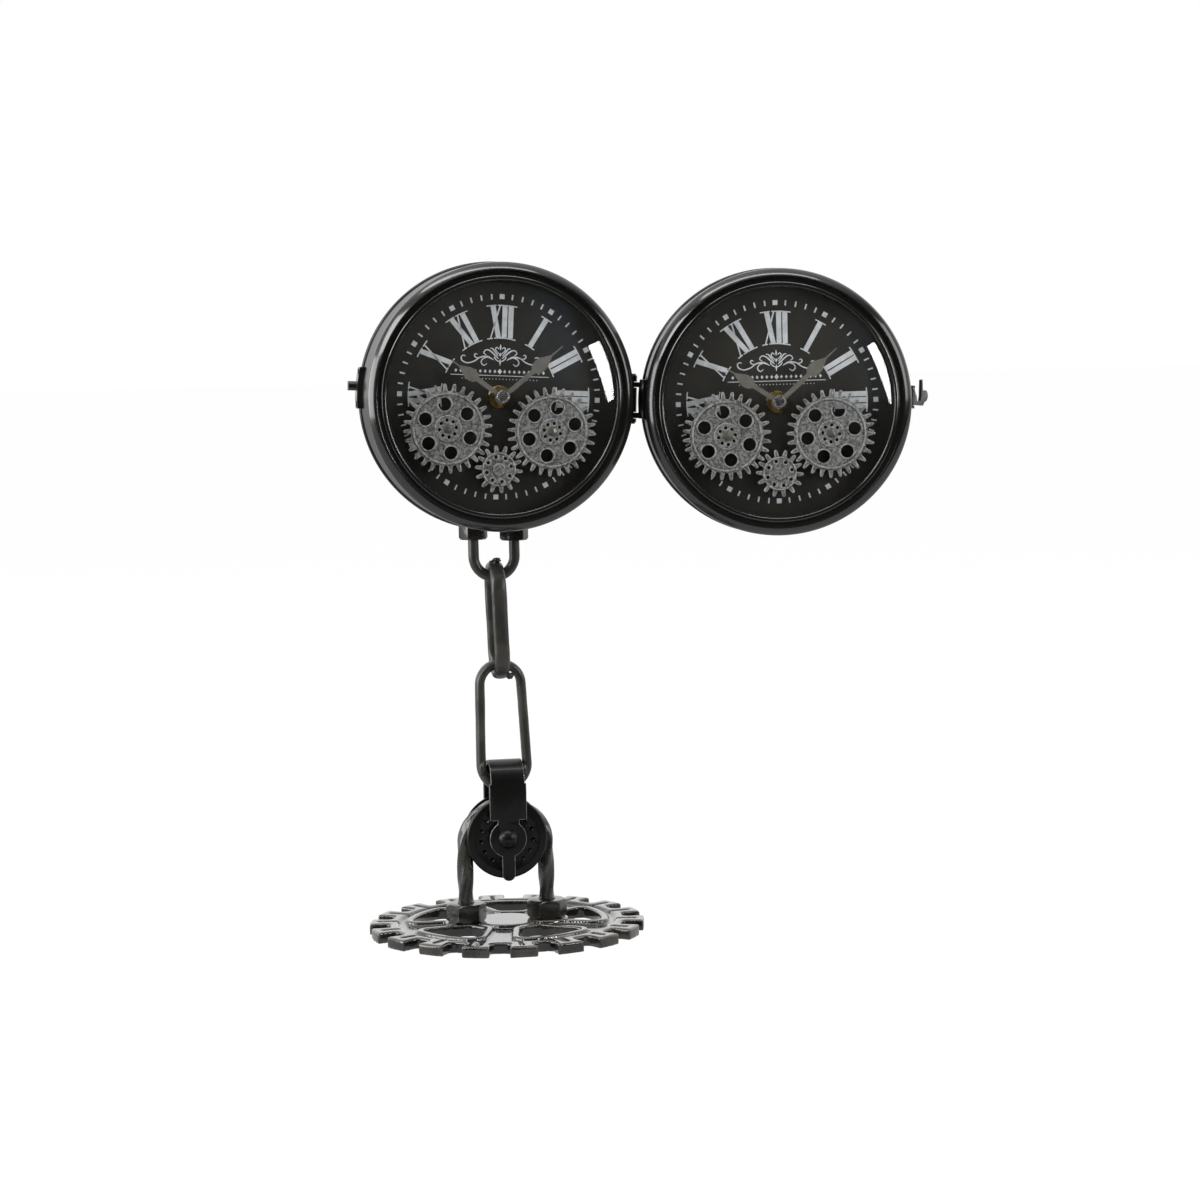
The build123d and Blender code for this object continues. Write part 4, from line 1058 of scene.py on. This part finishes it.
# Base: the CAD form worn soft, as a casting is
base_mesh = nodes["base_gear"].data.copy()
form = bmesh.new()
form.from_mesh(base_mesh)
bmesh.ops.remove_doubles(form, verts=form.verts, dist=1e-6)
form.to_mesh(base_mesh)
form.free()
base_source = linked("source", base_mesh)
cast_form(base_source, 0.95, 4)
base_piece = plain_mesh(base_source, "cast_base", finish=base_iron)
base_piece.data.shade_smooth()
mark_relief(base_piece.data, 0.00017)
carried(base_piece, "stand", "base_iron", "base_gear")

# Clocks

# Turns of the left, right and small gear, in degrees
gear_turns = {"left": (99.0, 79.6, 150.6), "right": (98.0, 130.7, 151.1)}


def gear_piece(side, name, node, body, centre, angle, values):
    """One cast gear, set on its arbor in the dial's frame."""
    source = with_tree(blank(), cast_gear, dict(values, Finish=pewter))
    cast_form(source, 0.34, 2)
    place = (
        dial_places[side]
        @ Matrix.Translation(mm(centre[0], -gear_back, centre[1]))
        @ face_on
        @ Matrix.Rotation(math.radians(angle), 4, "Z")
    )
    piece = plain_mesh(source, f"{side}_{name}", place, pewter)
    piece.data.shade_smooth()
    mark_relief(piece.data, 0.000035)
    return carried(piece, body, "gear_pewter", node)


# Bezels: a sloping shoulder that goes on from the band, a groove, and a bead round the glass
bead = []
for angle in range(0, 91, 10):
    turn = math.radians(angle)
    bead.append((79.1 + 2.3 * math.cos(turn), 47.7 + 1.9 * math.sin(turn)))
bezel_profile = [
    (90.0, 44.0),
    (90.1, 44.5),
    (89.95, 45.2),
    (89.6, 45.9),
    (89.1, 46.6),
    (88.4, 47.3),
    (87.5, 48.1),
    (86.6, 48.85),
    (85.7, 49.5),
    (85.1, 49.8),
    (84.7, 49.7),
    (84.45, 49.3),
    (84.35, 48.4),
    (84.1, 47.9),
    (83.6, 47.7),
    (81.9, 47.7),
    *bead,
    (78.5, 49.45),
    (78.0, 49.0),
    (77.7, 48.3),
    (77.6, 47.5),
    (77.6, 46.1),
    (79.2, 45.75),
    (84.3, 45.7),
    (84.3, 44.0),
    (90.0, 44.0),
]
for side, place in (("left", left_place), ("right", right_place)):
    turned_piece(
        f"{side}_bezel_ring",
        bezel_profile,
        place @ face_on,
        bezel_paint,
        clock_bodies[side],
        "bezel_black",
        f"{side}_bezel",
        segments=168,
    )

boss_profile = ((0, -1.0), (2.9, -1.0), (2.95, 0.8), (2.6, 1.3), (1.9, 1.55), (0, 1.65))
cap_profile = (
    (0, -0.3),
    (4.5, -0.3),
    (4.6, 0.4),
    (4.5, 2.0),
    (4.1, 2.5),
    (3.6, 2.6),
    (3.4, 2.35),
    (0, 2.35),
)

big_gear = dict(
    Teeth=28,
    Root=mm(24.8),
    Tip=mm(30.0),
    Lag=math.radians(3.48),
    Plate=mm(2.7),
    Rise=mm(0.85),
    Ridge=mm(23.3),
    Ridge_Width=mm(1.3),
    Holes=6,
    Hole_Circle=mm(16.3),
    Hole_Radius=mm(4.4),
    Hub=mm(9.0),
    Pins=8,
    Pin_Circle=mm(5.7),
    Pin_Radius=mm(1.25),
    Bore=mm(3.0),
)
small_gear = dict(
    big_gear,
    Teeth=14,
    Root=mm(11.4),
    Tip=mm(16.1),
    Lag=0.0,
    Ridge=mm(10.9),
    Ridge_Width=mm(0.9),
    Holes=8,
    Hole_Circle=mm(8.5),
    Hole_Radius=mm(1.25),
    Hub=mm(4.2),
    Pins=1,
    Pin_Circle=mm(0.0),
    Pin_Radius=mm(0.35),
    Bore=mm(0.9),
)

left_spot = (-35.2, -22.0)
right_spot = (35.2, -22.0)
small_spot = (0.0, -48.1)
drive_boss_depth = 43.1
far_boss_depth = 42.9
cap_depth = 49.5

for side in ("left", "right"):
    first, second, third = gear_turns[side]
    drive = f"{side}_drive"
    gear_piece(side, "driving_gear", f"{side}_drive_gear", drive, left_spot, first, big_gear)
    gear_piece(side, "driven_gear", f"{side}_far_gear", f"{side}_far", right_spot, second, big_gear)
    gear_piece(side, "idle_gear", f"{side}_small_gear", f"{side}_small", small_spot, third, small_gear)
    for name, (x, z), depth, body in (
        ("driving_boss", left_spot, drive_boss_depth, drive),
        ("driven_boss", right_spot, far_boss_depth, clock_bodies[side]),
    ):
        spot = dial_places[side] @ Matrix.Translation(mm(x, -depth, z)) @ face_on
        turned_piece(f"{side}_{name}", boss_profile, spot, post_steel, body, "post_steel")
    spot = dial_places[side] @ Matrix.Translation(mm(0, -cap_depth, 0)) @ face_on
    turned_piece(f"{side}_hub_cap", cap_profile, spot, cap_steel, f"{side}_minute", "cap_steel")


# Dial print

PRINT_FILM = 0.00005


def quad_strip(form, low_side, high_side):
    """Joins two lines of flat points with faces."""
    low = [form.verts.new((x, y, 0)) for x, y in low_side]
    high = [form.verts.new((x, y, 0)) for x, y in high_side]
    for i in range(len(low) - 1):
        form.faces.new((low[i], low[i + 1], high[i + 1], high[i]))


def serif(form, centre_turn, start, end, radius, thickness):
    """A thin bar that follows a circle about the dial's middle, between two offsets at that radius."""
    count = max(4, int((end - start) / 1.2))
    inner, outer = [], []
    for i in range(count + 1):
        angle = (start + (end - start) * i / count) / radius
        for line, reach in ((inner, radius), (outer, radius + thickness)):
            line.append((reach * math.sin(angle), reach * math.cos(angle)))
    spin = Matrix.Rotation(-centre_turn, 2)
    inner = [tuple(spin @ Vector(mm(x, y, 0)[:2])) for x, y in inner]
    outer = [tuple(spin @ Vector(mm(x, y, 0)[:2])) for x, y in outer]
    quad_strip(form, inner, outer)


def stroke(form, centre_turn, low_x, high_x, width, numeral_low, numeral_high):
    """A straight stroke from the inner circle to the outer one."""
    spin = Matrix.Rotation(-centre_turn, 2)
    rows = []
    for x, radius, extra in ((low_x, numeral_low, 0.0), (high_x, numeral_high, 0.2)):
        y = math.sqrt(radius**2 - x**2)
        half = (width + extra) / 2
        rows.append([tuple(spin @ Vector(mm(x + end, y, 0)[:2])) for end in (-half, half)])
    quad_strip(form, rows[0], rows[1])


def numeral(form, letters, hour):
    """A Roman numeral set with its foot to the dial's middle. Sizes in millimetres."""
    low, high, serif_height = 39.8, 60.8, 0.75
    thick, thin = 3.3, 0.85
    step_i, step_x = 4.15, 8.2
    foot_x, top_x, tail_x = 4.25, 4.83, 0.9
    half_gap = 0.45
    turn = math.radians(30 * hour)
    at = 0.0
    strokes, tops, bottoms = [], [], []
    left_top = 4.4 if letters[0] == "X" else 4.0
    for i, letter in enumerate(letters):
        if letter == "I":
            strokes.append((at, at, thick))
            tops.append(at)
            bottoms.append(at)
            at += step_i
        else:
            strokes.append((at + foot_x, at, thick))
            strokes.append((at - tail_x, at + top_x, thin))
            tops += [at, at + top_x]
            bottoms += [at - tail_x, at + foot_x]
            at += step_x
    left, right = tops[0] - left_top, tops[-1] + (3.4 if letters[-1] == "X" else 4.0)
    middle = (left + right) / 2
    for low_x, high_x, width in strokes:
        stroke(form, turn, low_x - middle, high_x - middle, width, low + 0.1, high + 0.1)
    foot_left, foot_right = bottoms[0] - (2.3 if letters[0] == "X" else 3.5), bottoms[-1] + 3.6
    breaks_top, breaks_foot = [], []
    for i, letter in enumerate(letters):
        if letter == "X":
            x_at = sum(step_x if before == "X" else step_i for before in letters[:i])
            breaks_top.append(x_at + 2.8)
            breaks_foot.append(x_at + 1.0)
    for edge_radius, ends, breaks in (
        (high, (left - middle, right - middle), breaks_top),
        (low - serif_height, (foot_left - middle, foot_right - middle), breaks_foot),
    ):
        start = ends[0]
        for gap in breaks:
            serif(form, turn, start, gap - middle - half_gap, edge_radius, serif_height)
            start = gap - middle + half_gap
        serif(form, turn, start, ends[1], edge_radius, serif_height)


def flourish(form, points, widths):
    """A tapering stroke through points, smoothed, and its mirror image. Sizes in millimetres."""
    knots = [Vector(p) for p in points]
    line, breadth = [], []
    for i in range(len(knots) - 1):
        before, after = knots[max(i - 1, 0)], knots[min(i + 2, len(knots) - 1)]
        for step in range(8):
            t = step / 8
            a, b = knots[i], knots[i + 1]
            line.append(
                0.5
                * (2 * a + (b - before) * t + (2 * before - 5 * a + 4 * b - after) * t**2
                   + (3 * a - before - 3 * b + after) * t**3)
            )
            breadth.append(widths[i] + (widths[i + 1] - widths[i]) * t)
    line.append(knots[-1])
    breadth.append(widths[-1])
    for mirror in (1, -1):
        sides = [[], []]
        for i, spot in enumerate(line):
            ahead = (line[min(i + 1, len(line) - 1)] - line[max(i - 1, 0)]).normalized()
            out = Vector((-ahead.y, ahead.x)) * breadth[i] / 2
            for side_line, point in zip(sides, (spot - out, spot + out)):
                side_line.append((mirror * mm(point.x), mm(point.y)))
        quad_strip(form, *(sides if mirror > 0 else reversed(sides)))


def lozenge(form, x, y, half_width, half_height):
    """A diamond. Sizes in millimetres."""
    corners = ((x - half_width, y), (x, y - half_height), (x + half_width, y), (x, y + half_height))
    form.faces.new([form.verts.new((mm(a), mm(b), 0)) for a, b in corners])


def bar(form, x0, x1, y, thickness):
    """A thin level rule. Sizes in millimetres."""
    half = thickness / 2
    low, high = ([(mm(x0), mm(level)), (mm(x1), mm(level))] for level in (y - half, y + half))
    quad_strip(form, low, high)


# Right half of the scrollwork: points of each stroke, and its width at each point
scrolls = (
    (
        ((4.4, 24.6), (8.4, 26.6), (13.4, 26.2), (17.6, 23.4), (22.2, 22.2),
         (25.6, 23.6), (26.3, 26.0), (24.6, 27.2), (23.4, 26.4)),
        (0.3, 1.3, 0.9, 0.8, 0.8, 0.9, 0.8, 0.6, 0.5),
    ),
    (
        ((12.6, 26.4), (15.8, 25.8), (17.4, 27.0), (16.9, 28.4), (15.5, 28.0)),
        (0.4, 0.7, 0.8, 0.7, 0.5),
    ),
    (
        ((8.6, 26.4), (11.9, 25.0), (12.7, 22.6), (10.9, 20.9), (8.8, 22.2)),
        (0.4, 0.7, 0.8, 0.7, 0.4),
    ),
    (
        ((9.4, 27.8), (11.2, 29.2), (9.8, 31.2), (7.2, 30.8), (3.8, 28.0),
         (1.2, 25.6)),
        (0.4, 0.7, 0.7, 0.9, 1.0, 0.5),
    ),
    (
        ((7.0, 32.3), (5.4, 32.2), (3.9, 30.4), (1.5, 27.4)),
        (0.4, 0.8, 0.9, 0.5),
    ),
    (
        ((1.0, 31.9), (2.4, 33.1), (3.4, 31.8), (2.0, 29.8), (0.2, 28.4)),
        (0.5, 0.7, 0.7, 0.6, 0.4),
    ),
    (
        ((4.1, 26.8), (3.1, 25.2), (1.4, 24.0), (0.1, 23.8)),
        (0.8, 0.7, 0.7, 0.5),
    ),
)


def dial_print(side):
    """Numerals, scrollwork and rules as one thin printed film on the dial."""
    form = bmesh.new()
    upper_hours = (("IX", 9), ("X", 10), ("XI", 11), ("XII", 12), ("I", 1), ("II", 2), ("III", 3))
    for letters, hour in upper_hours:
        numeral(form, letters, hour)
    for points, widths in scrolls:
        flourish(form, points, widths)
    lozenge(form, 0, 33.2, 0.65, 2.3)
    lozenge(form, 0, 28.2, 0.75, 1.4)
    lozenge(form, 0, 23.2, 0.65, 2.6)
    bar(form, -33.3, 33.3, 14.2, 0.45)
    for i in range(-9, 10):
        if i:
            lozenge(form, i * 3.3, 17.0, 0.95, 1.25)
    lozenge(form, 0, 17.0, 1.5, 1.9)
    for i in range(-11, 12):
        lozenge(form, i * 2.3, 11.9, 0.4, 0.4)
    mesh = bpy.data.meshes.new("print")
    form.to_mesh(mesh)
    form.free()
    source = linked("source", mesh)
    film = source.modifiers.new("Film", "SOLIDIFY")
    film.thickness = PRINT_FILM
    film.offset = 1.0
    place = dial_places[side] @ Matrix.Translation(mm(0, -dial_front, 0)) @ face_on
    piece = plain_mesh(source, f"{side}_dial_print", place, silver_print)
    recalc = bmesh.new()
    recalc.from_mesh(piece.data)
    bmesh.ops.recalc_face_normals(recalc, faces=recalc.faces)
    recalc.to_mesh(piece.data)
    recalc.free()
    carried(piece, clock_bodies[side], "dial_black")
    marks = with_tree(
        blank(),
        minute_marks,
        dict(Circle=mm(67.0), Tick_Width=mm(1.05), Tick_Length=mm(3.6), Square=mm(3.3), Finish=silver_print),
    )
    raised = place @ Matrix.Translation((0, 0, PRINT_FILM / 2))
    carried(plain_mesh(marks, f"{side}_minute_marks", raised), clock_bodies[side], "dial_black")


for side in ("left", "right"):
    dial_print(side)

# Finishes of the CAD nodes
node_finishes = [
    (base_iron, ["base_gear"]),
    (nut_paint, ["base_nuts", "u_bolt_nuts"]),
    (chain_paint, ["twisted_arch", "lower_link", "upper_link", "top_u_bolt"]),
    (pulley_paint, ["pulley_wheel", "pulley_axle", "pulley_strap"]),
    (latch_paint, ["left_hinge_leaf", "right_hinge_leaf", "hinge_pin"]),
    (latch_paint, ["catch_plate", "hook_plate", "latch_hook"]),
]
for side in ("left", "right"):
    for finish, names in (
        (drum_paint, ["drum"]),
        (bezel_paint, ["bezel"]),
        (clear_glass, ["glass"]),
        (seal_rubber, ["gasket"]),
        (dial_black, ["dial"]),
        (post_steel, ["gear_posts"]),
        (hand_grey, ["hour_hand", "minute_hand"]),
        (cap_steel, ["minute_arbor"]),
        (brass, ["hand_nut"]),
        (movement_plastic, ["movement", "gear_motor"]),
        (knob_plastic, ["set_knob"]),
        (switch_plastic, ["motor_switch"]),
        (cell_jacket, ["cells"]),
        (cover_plastic, ["back_cover"]),
        (blackened, ["back_screws"]),
        (pewter, ["drive_gear", "far_gear", "small_gear"]),
    ):
        node_finishes.append((finish, [f"{side}_{name}" for name in names]))
for finish, names in node_finishes:
    for name in names:
        data = nodes[name].data
        data.materials.clear()
        data.materials.append(finish)

# Floor, light and camera

floor_mesh = bpy.data.meshes.new("floor")
form = bmesh.new()
bmesh.ops.create_grid(form, x_segments=1, y_segments=1, size=30)
form.to_mesh(floor_mesh)
form.free()
floor = linked("floor", floor_mesh)
floor_finish = bpy.data.materials.new("pale floor")
floor_finish.use_nodes = True
floor_finish.node_tree.nodes.clear()
steps = Steps(floor_finish.node_tree)
matt = steps.add("ShaderNodeBsdfDiffuse", {"Color": (0.86, 0.86, 0.86, 1.0)})
glow = steps.add("ShaderNodeEmission", {"Color": (1.0, 1.0, 1.0, 1.0), "Strength": 1.09})
rays = steps.add("ShaderNodeLightPath").outputs
share = steps.times(rays["Is Camera Ray"], 0.86)
surface = steps.add("ShaderNodeMixShader", {0: share, 1: matt.outputs[0], 2: glow.outputs[0]})
spot = steps.parts(steps.own_place())
table = steps.remap(spot["Y"], -0.43, -0.4, 0.0, 0.5)
mirrored = steps.add("ShaderNodeEmission", {"Color": (1.0, 1.0, 1.0, 1.0), "Strength": table})
ends = steps.add(
    "ShaderNodeMixShader", {0: rays["Is Glossy Ray"], 1: surface.outputs[0], 2: mirrored.outputs[0]}
)
steps.add("ShaderNodeOutputMaterial", {"Surface": ends.outputs[0]})
floor_mesh.materials.append(floor_finish)

world = bpy.data.worlds.new("studio")
bpy.context.scene.world = world
world.use_nodes = True
world.node_tree.nodes.clear()
steps = Steps(world.node_tree)
heading = steps.add("ShaderNodeTexCoord").outputs["Generated"]
parts = steps.parts(heading)
behind = steps.remap(parts["Y"], -0.2, 0.3, 0.03, 1.0, smooth=True)
overhead = steps.remap(parts["Z"], 0.55, 0.95, 0.0, 0.6, smooth=True)
beside = steps.remap(steps.calc("ABSOLUTE", parts["X"]), 0.78, 1.0, 0.0, 0.35, smooth=True)
heading_angle = steps.calc("ARCTAN2", parts["X"], steps.times(parts["Y"], -1.0))
window = steps.calc(
    "MULTIPLY",
    steps.remap(heading_angle, 0.2, 0.5, 0.0, 1.0, smooth=True),
    steps.remap(heading_angle, 0.55, 0.62, 1.0, 0.0, smooth=True),
)
window = steps.times(window, steps.remap(parts["Z"], -0.3, 0.25, 0.0, 1.0, smooth=True))
mirrored = steps.plus(steps.plus(behind, overhead), beside)
mirrored = steps.plus(mirrored, steps.times(window, 0.14))
rays = steps.add("ShaderNodeLightPath").outputs
strength = steps.times(rays["Is Diffuse Ray"], 0.42)
seen = steps.calc("MAXIMUM", rays["Is Glossy Ray"], rays["Is Transmission Ray"])
strength = steps.plus(strength, steps.times(seen, steps.calc("MINIMUM", mirrored, 1.0)))
strength = steps.plus(strength, rays["Is Camera Ray"])
tint = steps.blend(steps.times(window, seen), (1.0, 1.0, 1.0, 1.0), (0.45, 0.6, 0.85, 1.0))
background = steps.add("ShaderNodeBackground", {"Color": tint, "Strength": strength})
steps.add("ShaderNodeOutputWorld", {"Surface": background.outputs[0]})


def softbox(name, at, aim, width, height, watts, spin=0.0):
    """A rectangular lamp turned to a point, and spun about its own axis by an angle in degrees."""
    data = bpy.data.lights.new(name, "AREA")
    data.shape = "RECTANGLE"
    data.size = width
    data.size_y = height
    data.energy = watts
    lamp = bpy.data.objects.new(name, data)
    aimed = (Vector(aim) - Vector(at)).to_track_quat("-Z", "Y").to_matrix().to_4x4()
    lamp.matrix_world = Matrix.Translation(at) @ aimed @ Matrix.Rotation(math.radians(spin), 4, "Z")
    lamp.visible_camera = False
    bpy.context.scene.collection.objects.link(lamp)


softbox("key softbox", (-1.9, -1.0, 1.7), (0.08, 0, 0.3), 1.0, 1.0, 22.0)
softbox("side softbox", (-2.1, -0.08, 0.5), (0.0, 0, 0.4), 1.5, 1.3, 27.0)
softbox("top softbox", (-0.1, -0.6, 2.4), (0.05, 0, 0.4), 2.2, 0.3, 13.0)
softbox("fill softbox", (1.9, -0.85, 0.9), (0.08, 0, 0.3), 0.8, 1.2, 8.0)
softbox("window strip", (0.591, -0.617, 0.458), (0.12, -0.02, 0.38), 0.066, 0.272, 1.15, spin=18.0)

camera_data = bpy.data.cameras.new("camera")
camera_data.sensor_width = 36.0
camera_data.lens = 88.62
camera_data.clip_start = 0.05
camera_data.clip_end = 100.0
camera = bpy.data.objects.new("camera", camera_data)
azimuth, elevation, roll = (math.radians(angle) for angle in (-10.610, 4.981, -1.179))
back = Vector(
    (math.sin(azimuth) * math.cos(elevation), -math.cos(azimuth) * math.cos(elevation), math.sin(elevation))
)
level = (-back).cross(Vector((0, 0, 1))).normalized()
upright = level.cross(-back)
right_axis = math.cos(roll) * level + math.sin(roll) * upright
up_axis = -math.sin(roll) * level + math.cos(roll) * upright
stance = Matrix((right_axis, up_axis, back)).transposed().to_4x4()
camera.matrix_world = Matrix.Translation(mm(-301.197, -1978.946, 400.494)) @ stance
bpy.context.scene.collection.objects.link(camera)
bpy.context.scene.camera = camera
bpy.context.scene.view_settings.view_transform = "Standard"
